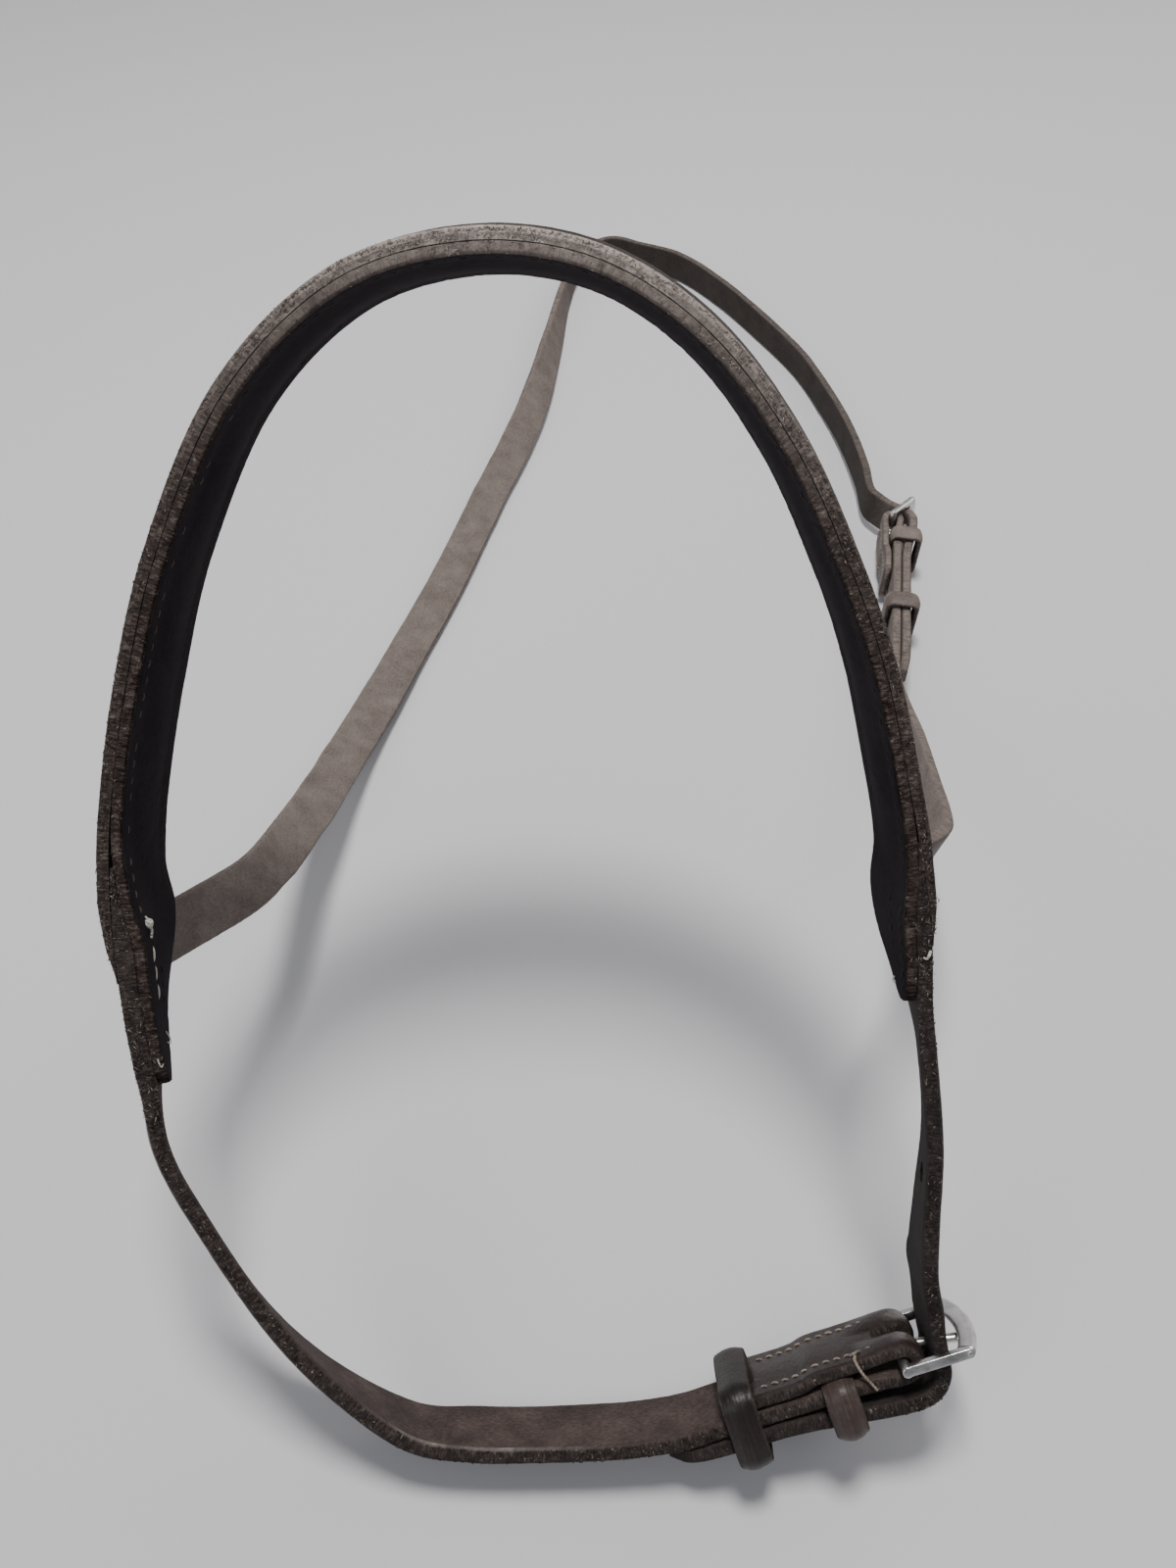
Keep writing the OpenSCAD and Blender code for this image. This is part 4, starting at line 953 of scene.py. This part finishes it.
def right_extra(bag):
    # short frayed ends on the near edge and on the lining
    strand(bag, [on_near(343.2, 0.9, -0.4), on_near(343.8, 0.5, 0.4), on_near(344.6, 0.0, 0.35), on_near(344.4, -0.6, -0.3)], 0.34, 0.18, 0.3)
    strand(bag, [on_lining(352.9, 11.2, -0.1), on_lining(352.4, 11.7, 0.4), on_lining(351.8, 12.0, -0.1)], 0.34, 0.14, 0.8)
    strand(bag, [on_near(333.0, 2.2, -0.3), on_near(333.5, 2.5, 0.3), on_near(334.2, 2.6, -0.2)], 0.2, 0.12, 0.5)


left_a = lambda u: 4.6 + (32.0 - u) * 0.155
seam_rows("left_joint_thread", [(NOSE, 17.5, 28.0, left_a, 0.08, lin_h, -1, 4.0, 3.8, 0.24, 500, 0.0)], M_WHITE, ["left_joint_stitching"], left_extra)
seam_rows("left_joint_seam", [(NOSE, station_u(1) + 3, station_u(3) + 2, 13.0, 0.1, lin_h, -1, 3.0, 2.2, 0.26, 520, 0.1),
                              (NOSE, station_u(2) + 4, station_u(3) + 3, 3.4, -0.1, out_h, 1, 3.0, 2.2, 0.28, 540, 0.0)], M_BLACK, ["left_joint_stitching"])
seam_rows("right_joint_seam", [(NOSE, station_u(18) - 1, station_u(20) - 3, 3.2, 0.1, lin_h, -1, 3.0, 2.2, 0.26, 600, 0.2),
                               (NOSE, station_u(18) - 1, station_u(19) + 1, 13.0, 0.1, lin_h, -1, 3.0, 2.2, 0.26, 620, 0.1),
                               (NOSE, station_u(18) - 2, station_u(19) - 5, 3.4, -0.1, out_h, 1, 3.0, 2.2, 0.28, 640, 0.0)],
          M_BLACK, ["right_joint_stitching"])
seam_rows("right_joint_thread", [], M_WHITE, ["right_joint_stitching"], right_extra)

# ------------------------------------------------------------------ chin straps
CHIN = Run(CHIN_ST, 0.5)
BIL = Run(BILLET_ST, 0.5)


def u_near(run, P, lo=0.0, hi=1.0):
    """Length along run at its point nearest to P, looked for between two shares of its length."""
    d = np.linalg.norm(run.p - np.asarray(P), axis=1)
    d[(run.u < lo * run.L) | (run.u > hi * run.L)] = 1e9
    return float(run.u[int(np.argmin(d))])


UF0, UF1 = u_near(CHIN, CH(-9, C_MAIN), 0.5, 0.87), u_near(CHIN, CH(-8, -C_TUCK), 0.87, 1.0)


def fold_lobes(uu, aa, side):
    """The fold swells into a soft roll on each side of the tongue's slot."""
    along = smooth(uu, UF0, UF0 + 6) * (1 - smooth(uu, UF1 - 5, UF1 + 2))
    f = np.clip(np.minimum(aa, CHIN_W - aa) / 6.5, 0, 1)
    hump = np.clip(1 - (2 * f - 1) ** 2, 0, 1) ** 0.8
    pillow = (1 - smooth(uu, END - 2.5, END)) * smooth(uu, UF1 - 2, UF1 + 2) * np.clip(1 - ((aa - CHIN_W / 2) / 4.6) ** 2, 0, 1)
    return np.where(side < 0, along * (0.75 * hump - 0.4) + 0.22 * pillow, 0.0)


END = CHIN.L
UB0, UB1 = u_near(CHIN, ring(-40, 18), 0.1, 0.6), u_near(CHIN, ring(8, 0.3), 0.1, 0.8)


UF2 = u_near(CHIN, CH(C_RAD * math.sin(math.radians(150)), C_RAD * math.cos(math.radians(150))), 0.87, 1.0)


def burnish_and_highlight(u, pr):
    """Rubbed corner between the inner face and the near edge along the bottom of the strap, and rubbed tops of the
    fold: glossier there, with a painted highlight in the colour.
    """
    corner = (pr[..., 0] == 0) * (pr[..., 5] > 0) * (pr[..., 6] > 0.1) * (pr[..., 6] < 0.75)
    patchy = 0.62 + 0.38 * np.sin(u * 0.61) * np.sin(u * 0.23 + 1.0)
    f = np.clip(np.minimum(pr[..., 0], 1 - pr[..., 0]) * CHIN_W / 6.5, 0, 1)
    tops = 0.75 * np.exp(-((u - UF2) / 1.7) ** 2) * np.clip(1 - ((f - 0.5) / 0.36) ** 2, 0, 1) * (pr[..., 5] < 0) * (pr[..., 6] < 0.5)
    return smooth(u, UB0 + 8, UB0 + 26) * (1 - smooth(u, UB1 - 10, UB1 + 10)) * patchy * corner + tops


chin = strap_mesh("chin_buckle_strap_leather", CHIN, 0.0, -1, rad=lambda u: 0.2 + 0.7 * smooth(u, 38, 52), edge_amp=0.17, seed=31, nf=40, bulge=fold_lobes, wear_and_light=burnish_and_highlight)
billet = strap_mesh("chin_billet_leather", BIL, 0.0, 1, rad=lambda u: 0.2 + 0.75 * smooth(u, 26, 40), edge_amp=0.17, seed=32)


def slot_outline(x0, x1, r):
    pts = [(x1 - r + r * math.cos(g), r * math.sin(g)) for g in np.linspace(-math.pi / 2, math.pi / 2, 9)]
    return pts + [(x0 + r + r * math.cos(g), r * math.sin(g)) for g in np.linspace(math.pi / 2, 1.5 * math.pi, 9)]


cut(chin, prism("c1", CH(0, 0, CHIN_W / 2), CH.s, CH.w, -CH.n, slot_outline(-4.4, 7, 1.5), -6, 6))
cut(billet, prism("c2", CH(0, 2.2, CHIN_W / 2), CH.n, CH.w, CH.s, slot_outline(-2.8, 2.8, 1.8), 2, 13))
cut(billet, prism("c3", CH(-24, 6, CHIN_W / 2), CH.s, CH.w, -CH.n, circle_pts(2.0), -6, 6))
_h = ring(78.4, 56) + 8 * unit([17, 74, -64])
cut(billet, prism("c4", _h, np.array([0, 1.0, 0]), np.array([0, 0, 1.0]), np.array([1.0, 0, 0]), circle_pts(2.0), -7, 7))
done(chin, "noseband", M_CHIN, "bridle_leather", "chin_buckle_strap")
done(billet, "noseband", M_BILLET, "bridle_leather", "chin_billet")

# rows through the turn-back, with a tie-off thread beside the keeper
back_h = lambda u: -np.interp(u, CHIN.u, CHIN.q[:, 7]) / 2


def chin_extra(bag):
    strand(bag, [CH(-8.6, -C_TUCK - 1.5, 1.6), CH(-8.9, -C_TUCK - 1.4, 0.4), CH(-8.6, -2.4, -0.45), CH(-8.0, -0.6, -0.5), CH(-7.2, 1.2, -0.45), CH(-6.6, 2.6, -0.4)], 0.34, 0.26, 0.5)
    strand(bag, [CH(-9.4, -C_TUCK - 1.5, 2.4), CH(-8.4, -C_TUCK - 1.9, 2.0), CH(-7.6, -C_TUCK - 1.6, 2.9)], 0.32, 0.2, 0.7)


seam_rows("chin_turnback_thread", [(CHIN, END - 25.5, END - 1.6, 3.0, 0.0, back_h, -1, 2.2, 1.6, 0.26, 700, 0.04),
                                   (CHIN, END - 25.5, END - 1.6, CHIN_W - 3.0, 0.0, back_h, -1, 2.2, 1.6, 0.26, 720, 0.04)],
          M_THREAD, ["chin_stitching"], chin_extra)

# ------------------------------------------------------------------ head straps
HEAD = Run(HEAD_ST, 0.7)
CHEEK = Run(CHEEK_ST, 0.5)
# rising part of the ramp: painted shade on the run toward the head buckle; falling part near the buckle: grain worn to
# flesh colour
head = strap_mesh("head_strap_leather", HEAD, 0.5, -1, rad=0.8, edge_amp=0.1, face_amp=0.06, wave=0.2, seed=41,
                  wear_and_light=lambda u, pr: smooth(u, 0.51 * HEAD.L, 0.61 * HEAD.L) - 1.65 * smooth(u, HEAD.L - 96, HEAD.L - 72) + 0 * pr[..., 0])
cheek = strap_mesh("cheek_strap_leather", CHEEK, 0.5, 1, rad=0.8, edge_amp=0.1, face_amp=0.06, seed=42,
                   wear_and_light=lambda u, pr: -0.6 + 0 * u + 0 * pr[..., 0])
cut(cheek, prism("c5", HD(0, 0, HEAD_W / 2), HD.s, HD.w, -HD.n, slot_outline(-4.4, 7, 1.5), -6, 6))
cut(head, prism("c6", HDF(0, 2.2, HEAD_W / 2), HDF.n, HDF.w, HDF.s, slot_outline(-2.8, 2.8, 1.8), 2, 13))
for _i, _x in enumerate((-22, -52)):
    cut(head, prism("c7%d" % _i, HD(_x, 5, HEAD_W / 2), HD.s, HD.w, -HD.n, circle_pts(1.8), -6, 6))
done(head, "noseband", M_HEAD, "bridle_leather", "head_strap")
done(cheek, "noseband", M_HEAD, "bridle_leather", "cheek_strap")
CEND = CHEEK.L
ck_h = lambda u: np.interp(u, CHEEK.u, CHEEK.q[:, 7]) / 2
seam_rows("head_turnback_thread", [(CHEEK, CEND - 24, CEND - 1.6, 3.4, 0.02, ck_h, 1, 2.4, 1.7, 0.26, 800, 0.04),
                                   (CHEEK, CEND - 24, CEND - 1.6, -3.4, 0.02, ck_h, 1, 2.4, 1.7, 0.26, 820, 0.04)],
          M_THREAD, ["head_stitching"])


# --------------------------------------------------------------------- keepers
def keeper(name, F, W, x, z0, z1, t0, seed, body, node, mat, puff=0.0, r=2.0, bow=0.0):
    """Leather loop round the strap: a strip bent round a soft-cornered rectangle."""
    y0, y1, t = -0.45, W + 0.45, KEEP_T
    ya, yb, za, zb = y0 - t / 2, y1 + t / 2, z0 - t0 / 2, z1 + t / 2
    pts = []
    def arc(cy, cz, a0):
        for g in np.linspace(a0, a0 + math.pi / 2, 9):
            pts.append((cy + r * math.cos(g), cz + r * math.sin(g)))
    def line(a, b, n):
        for f in np.linspace(0, 1, n + 2)[1:-1]:
            pts.append((a[0] + (b[0] - a[0]) * f, a[1] + (b[1] - a[1]) * f))
    arc(yb - r, zb - r, 0.0)
    line((yb - r, zb), (ya + r, zb), 16)
    arc(ya + r, zb - r, math.pi / 2)
    line((ya, zb - r), (ya, za + r), 10)
    arc(ya + r, za + r, math.pi)
    line((ya + r, za), (yb - r, za), 16)
    arc(yb - r, za + r, 1.5 * math.pi)
    line((yb, za + r), (yb, zb - r), 10)
    P = np.array(pts)
    m = len(P)
    yc, zc = (ya + yb) / 2, (za + zb) / 2
    P += bow * np.stack([np.sign(P[:, 0] - yc) * (np.abs(P[:, 0] - yc) > yb - yc - 1e-6) * np.clip(1 - ((P[:, 1] - zc) / (zb - zc - r)) ** 2, 0, 1),
                         (P[:, 1] > zb - 1e-6) * np.clip(1 - ((P[:, 0] - yc) / (yb - yc - r)) ** 2, 0, 1)], 1)
    th = np.where(P[:, 1] < za + 0.6, t0, t)
    th = (np.roll(th, 1) + th + np.roll(th, -1)) / 3
    tg = np.roll(P, -1, 0) - np.roll(P, 1, 0)
    tg /= np.linalg.norm(tg, axis=1)[:, None]
    nn = np.stack([tg[:, 1], -tg[:, 0]], 1)
    L = np.concatenate([[0], np.cumsum(np.linalg.norm(np.diff(P, axis=0), axis=1))])
    pr = rect_profile(18, 4, 3)
    c = len(pr)
    rr = np.minimum(0.75, th * 0.42)
    wv = 0.12 * np.sin(L * 0.55 + seed)
    a = (pr[None, :, 0] - 0.5) * (KEEP_LEN + wv)[:, None] + pr[None, :, 1] * rr[:, None]
    h = pr[None, :, 2] * (th / 2)[:, None] + pr[None, :, 3] * rr[:, None]
    # crowned outer face with shallow grooves along the strip
    f = 2 * (pr[None, :, 0] - 0.5)
    groove = 0.05 * vnoise(np.stack([(L[:, None] * 0.06 + 0 * f).reshape(-1), (0 * L[:, None] + f * 4.5).reshape(-1), np.full(m * c, seed * 1.7)], 1), seed + 4).reshape(m, c)
    h = h + np.where(pr[None, :, 5] > 0, (0.42 + puff) * (1 - f ** 2) - 0.27 + groove, 0)
    yz = P[:, None, :] + h[..., None] * nn[:, None, :]
    R = F.o + (x + a)[..., None] * F.s + yz[..., 0:1] * F.w + yz[..., 1:2] * F.n
    flat = R.reshape(-1, 3)
    d = 0.05 * fbm(flat * 0.9, seed, 3)
    nr = pr[None, :, 4, None] * F.s[None, None, :] + pr[None, :, 5, None] * (nn[:, None, 0:1] * F.w + nn[:, None, 1:2] * F.n)
    flat = flat + nr.reshape(-1, 3) * d[:, None]
    strap = np.stack([np.repeat(L, c), a.reshape(-1), h.reshape(-1)], 1)
    kind = np.stack([np.tile(pr[:, 6], m), np.tile((pr[:, 5] >= 0).astype(float), m), np.zeros(m * c)], 1)
    q, _ = loft(flat.reshape(m, c, 3), closed=True, flip=True)
    ob = make_mesh(name, flat, q, [], strap, kind)
    return done(ob, body, mat, "bridle_leather", node)


keeper("chin_fixed_keeper_leather", CH, CHIN_W, -13.6, 0.15, 8.9, 1.1, 51, "noseband", "chin_fixed_keeper", M_KEEP_FIX, 0.4, 2.8, 0.3)
keeper("chin_running_keeper_leather", CH, CHIN_W, -33.2, -3.9, 9.2, KEEP_T, 52, "chin_runner", "chin_running_keeper", M_KEEP, 0.1, 3.2, 0.4)
keeper("head_fixed_keeper_leather", HD, HEAD_W, -10.4, 0.15, 8.4, 1.1, 53, "noseband", "head_fixed_keeper", M_KEEP_HEAD)
keeper("head_running_keeper_leather", HD, HEAD_W, -46, -0.5, 7.4, KEEP_T, 54, "head_runner", "head_running_keeper", M_KEEP_HEAD)


# --------------------------------------------------------------------- buckles
def buckle(name, F, W, L, body, node):
    bag = Bag()
    y0, y1 = -1.6, W + 1.6
    half = (y1 - y0) / 2
    Rb = half * half / (2 * BOW) + BOW / 2
    g = math.asin(half / Rb)
    # heel bar with peened ends
    ys = np.array([y0 - 0.95, y0 - 0.93, y0 - 0.85, y0 - 0.7, y1 + 0.7, y1 + 0.85, y1 + 0.93, y1 + 0.95])
    rs_ = np.array([0.5, 0.85, 1.02, BAR_R, BAR_R, 1.02, 0.85, 0.5])
    bag.add(tube_rings(np.array([F(0, 0, y) for y in ys]), rs_, 24, up=F.n))
    # flat side bars with softened edges
    for y in (y0, y1):
        out = []
        for k in np.linspace(math.pi / 2, 1.5 * math.pi, 13):
            out.append((RIM_R * math.cos(k), RIM_R * math.sin(k)))
        for k in np.linspace(-math.pi / 2, math.pi / 2, 13):
            out.append((L + RIM_R * math.cos(k), RIM_R * math.sin(k)))
        out = np.array(out)
        cx = np.clip(out[:, 0], 0, L)
        rings_ = []
        for dy, s in ((-0.8, 0.0), (-0.8, 0.8), (-0.76, 0.9), (-0.66, 0.98), (-0.55, 1.0), (0.55, 1.0), (0.66, 0.98), (0.76, 0.9), (0.8, 0.8), (0.8, 0.0)):
            rings_.append([F(cx[i] + (out[i, 0] - cx[i]) * s, out[i, 1] * s, y + dy) for i in range(len(out))])
        bag.add(np.array(rings_)[1:-1])
        # small riveted end of the bow
        sg = -1 if y == y0 else 1
        rr = np.array([F(L, 0, y + sg * v) for v in (0.5, 0.78, 0.86, 0.9)])
        bag.add(tube_rings(rr, np.array([0.56, 0.56, 0.48, 0.3]), 16, up=F.n))
    # broad bow of flattened section
    th = np.linspace(-g, g, 41)
    k = np.linspace(0, 2 * math.pi, 29)[:-1]
    sec = np.stack([0.75 * np.tanh(6 * np.cos(k)) + BOW_R * np.cos(k), BOW_R * np.sin(k)], 1)
    rings_ = []
    for x in th:
        er = (F.s * math.cos(x) + F.w * math.sin(x))
        o = F(L + BOW - Rb, 0, W / 2) + (Rb - 0.6) * er
        rings_.append([o + v[0] * er + v[1] * F.n for v in sec])
    bag.add(np.array(rings_)[:, ::-1])
    ob = bag.build(name)
    return done(ob, body, M_STEEL, "buckle_steel", node)


def tongue(name, F, W, L, body, node):
    bag = Bag()
    G = F.turned(math.degrees(math.asin((BOW_R + TONGUE_R + 0.45) / (L + BOW))))
    k = np.linspace(0, 2 * math.pi, 41)[:-1]
    R0 = BAR_R + 0.88
    bag.add(tube_rings(np.array([G(R0 * math.cos(x), R0 * math.sin(x), W / 2) for x in k]), 0.8, 14, up=G.w), closed=True)
    reach = L + BOW
    xs = np.array([BAR_R + 0.6, BAR_R + 1.2, 4, 8, reach - 1.5, reach - 0.4, reach, reach + 0.28, reach + 0.45, reach + 0.53])
    rr = np.array([0.85, 0.95, 0.95, 0.95, 0.94, 0.92, 0.82, 0.6, 0.36, 0.12])
    bag.add(tube_rings(np.array([G(x, 0, W / 2) for x in xs]), rr, 16, up=G.n))
    ob = bag.build(name)
    return done(ob, body, M_STEEL, "buckle_steel", node)


buckle("chin_buckle_steel", CH, CHIN_W, CHIN_SIDE, "chin_buckle", "chin_buckle_frame")
tongue("chin_tongue_steel", CH, CHIN_W, CHIN_SIDE, "chin_tongue", "chin_buckle_tongue")
buckle("head_buckle_steel", HDF, HEAD_W, HEAD_SIDE, "head_buckle", "head_buckle_frame")
tongue("head_tongue_steel", HDF, HEAD_W, HEAD_SIDE, "head_tongue", "head_buckle_tongue")


# ----------------------------------------------------------- fibres on raw edges
def fibres(name, rows):
    """Short tapered fibres of raw leather edges, standing out or lying over the edge; each is a closed sliver."""
    V, T, S, K, n = [], [], [], [], 0
    g = np.array([0, 2.0944, 4.1888])
    for (run, u0, u1, count, a, hlo, hhi, out, seed, lmin, lmax, lie, wear_and_light) in rows:
        i = np.arange(count)
        r = [hash01(i, seed + j) for j in range(13)]
        u = u0 + (u1 - u0) * r[0]
        p, t, b, nn, q = run.at(u)
        lo, hi = hlo(u), hhi(u)
        h = lo + (hi - lo) * r[1]
        aa = a(u) if callable(a) else np.full(count, float(a))
        o = p + (aa - out * 0.1)[:, None] * b + h[:, None] * nn
        flatly = r[9] < lie
        side = np.where(r[1] > 0.5, 1.0, -1.0)
        kb = out * np.where(flatly, 0.2 + 0.16 * r[2], 0.55 + 0.6 * r[2])
        kt = (r[3] - 0.5) * np.where(flatly, 2.6, 1.5)
        kn = np.where(flatly, np.where(np.abs(r[1] - 0.5) > 0.22, -side * r[11], 2.0 * r[11] - 1.0), side * (0.1 + 0.6 * r[4]))
        d = kb[:, None] * b + kt[:, None] * t + kn[:, None] * nn
        d /= np.linalg.norm(d, axis=1)[:, None]
        ln = np.where(flatly, 0.4 + 0.8 * r[5], lmin + (lmax - lmin) * r[5] ** 2.2)
        bend = ((r[6] - 0.5) * 0.9)[:, None] * t + ((r[7] - 0.5) * 0.5)[:, None] * nn - (np.where(flatly, 0.25, 0.0) * out)[:, None] * b
        x = np.cross(d, t)
        x /= np.linalg.norm(x, axis=1)[:, None]
        y = np.cross(d, x)
        w = np.where(flatly, 0.06, 0.045) + 0.04 * r[8]
        fan = np.cos(g)[None, :, None] * x[:, None, :] + np.sin(g)[None, :, None] * y[:, None, :]
        mid = o + d * (ln * 0.55)[:, None] + bend * (ln * 0.14)[:, None]
        tip = o + d * ln[:, None] + bend * (ln * 0.5)[:, None]
        pts = np.concatenate([o[:, None, :] + w[:, None, None] * fan, mid[:, None, :] + 0.75 * w[:, None, None] * fan, tip[:, None, :]], 1)
        V.append(pts.reshape(-1, 3))
        one = [[0, 1, 2]]
        for e in range(3):
            f = (e + 1) % 3
            one += [[e, 3 + f, f], [e, 3 + e, 3 + f], [3 + e, 6, 3 + f]]
        T.append((np.array(one)[None] + (n + 7 * i)[:, None, None]).reshape(-1, 3))
        S.append(np.repeat(np.stack([u, aa, h], 1), 7, 0))
        wr = wear_and_light(u) if wear_and_light else np.zeros(count)
        K.append(np.repeat(np.stack([np.full(count, 0.9), r[10], wr], 1), 7, 0))
        n += 7 * count
    return make_mesh(name, np.concatenate(V), [], np.concatenate(T), np.concatenate(S), np.concatenate(K))


def ends(R, j, f=0.5, k=0.85):
    """Height of one side of a strap's edge along run R."""
    return lambda u: np.interp(u, R.u, R.q[:, 8]) + j * k * f * np.interp(u, R.u, R.q[:, 7])


nz = lambda u: np.interp(u, NOSE.u, NOSE.q[:, 8])
no = lambda u: np.interp(u, NOSE.u, NOSE.q[:, 7])
nt = lambda u: band_t(np.interp(u, NOSE.u, NOSE.q[:, 10]))
fz = fibres("nose_edge_fibres", [
    (NOSE, U0 + 3.0, U1 - 3.0, 4600, 0.0, lambda u: no(u) + 0.1, lambda u: no(u) + 0.95 * nt(u), -1, 901, 0.25, 0.75, 0.85, CROWN_HIGHLIGHT),
    (NOSE, 5, NOSE.L - 5, 4200, 0.0, lambda u: nz(u) - 2.1, lambda u: nz(u) - 0.05, -1, 921, 0.25, 0.7, 0.85, lambda u: 0.55 * CROWN_HIGHLIGHT(u)),
    (NOSE, U0 + 2, U1 - 2, 700, lambda u: np.interp(u, NOSE.u, NOSE.q[:, 6]), lambda u: no(u) + 0.2, lambda u: no(u) + 0.9 * nt(u), 1, 941, 0.25, 0.7, 0.6, CROWN_HIGHLIGHT),
    (CHIN, 1, 50, 1300, 0.0, ends(CHIN, -1, 0.5, 1.1), ends(CHIN, 1, 0.5, 1.1), -1, 961, 0.2, 0.6, 0.88, None),
    (BIL, 1, 40, 1000, 0.0, ends(BIL, -1, 0.5, 1.1), ends(BIL, 1, 0.5, 1.1), -1, 981, 0.2, 0.6, 0.88, None)])
done(fz, "noseband", M_FUZZ, "bridle_leather")
cfz = fibres("chin_edge_fibres", [
    (CHIN, 46, 0.72 * CHIN.L, 1900, 0.0, ends(CHIN, -1), ends(CHIN, 1), -1, 962, 0.15, 0.4, 0.92, None),
    (BIL, 40, 118, 1100, 0.0, ends(BIL, -1), ends(BIL, 1), -1, 982, 0.15, 0.4, 0.92, None)])
done(cfz, "noseband", M_FUZZ_DARK, "bridle_leather")

# ------------------------------------------------------------ floor, light, camera
fm = bpy.data.meshes.new("floor")
fm.from_pydata([(-3, -3, 0), (3, -3, 0), (3, 3, 0), (-3, 3, 0)], [], [(0, 1, 2, 3)])
floor = bpy.data.objects.new("floor", fm)
bpy.context.scene.collection.objects.link(floor)
FN = Nodes("pale_floor")
FN.b.inputs["Base Color"].default_value = (0.62, 0.61, 0.63, 1)
FN.b.inputs["Roughness"].default_value = 0.85
floor.data.materials.append(FN.m)


def area(name, loc, target, size, power, color=(1, 1, 1)):
    li = bpy.data.lights.new(name, "AREA")
    li.shape, li.size, li.energy, li.color = "DISK", size, power, color
    ob = bpy.data.objects.new(name, li)
    ob.location = loc
    ob.rotation_euler = (Vector(target) - Vector(loc)).to_track_quat("-Z", "Y").to_euler()
    bpy.context.scene.collection.objects.link(ob)
    return ob


area("key", (-0.05, 0.12, 1.35), (0, -0.14, 0.0), 0.34, 18.0, (1.0, 0.985, 0.96))
area("fill", (-0.9, -0.9, 0.9), (0, -0.1, 0.05), 0.9, 4.0, (0.95, 0.97, 1.0))
area("rim", (0.8, 0.7, 0.8), (0, -0.05, 0.05), 0.8, 3.5, (1.0, 0.98, 0.95))
world = bpy.data.worlds.new("studio")
bpy.context.scene.world = world
world.use_nodes = True
world.node_tree.nodes["Background"].inputs[0].default_value = (0.75, 0.77, 0.82, 1)
world.node_tree.nodes["Background"].inputs[1].default_value = 0.35

cam = bpy.data.cameras.new("camera")
cam.sensor_fit, cam.sensor_height, cam.sensor_width, cam.lens = "VERTICAL", 36.0, 27.0, 27.0
cam.clip_start, cam.clip_end = 0.005, 20
co = bpy.data.objects.new("camera", cam)
co.location = (np.array([-16, -305, 276]) + REST) * MM
co.rotation_euler = (math.radians(40), 0, 0)
bpy.context.scene.collection.objects.link(co)
bpy.context.scene.camera = co
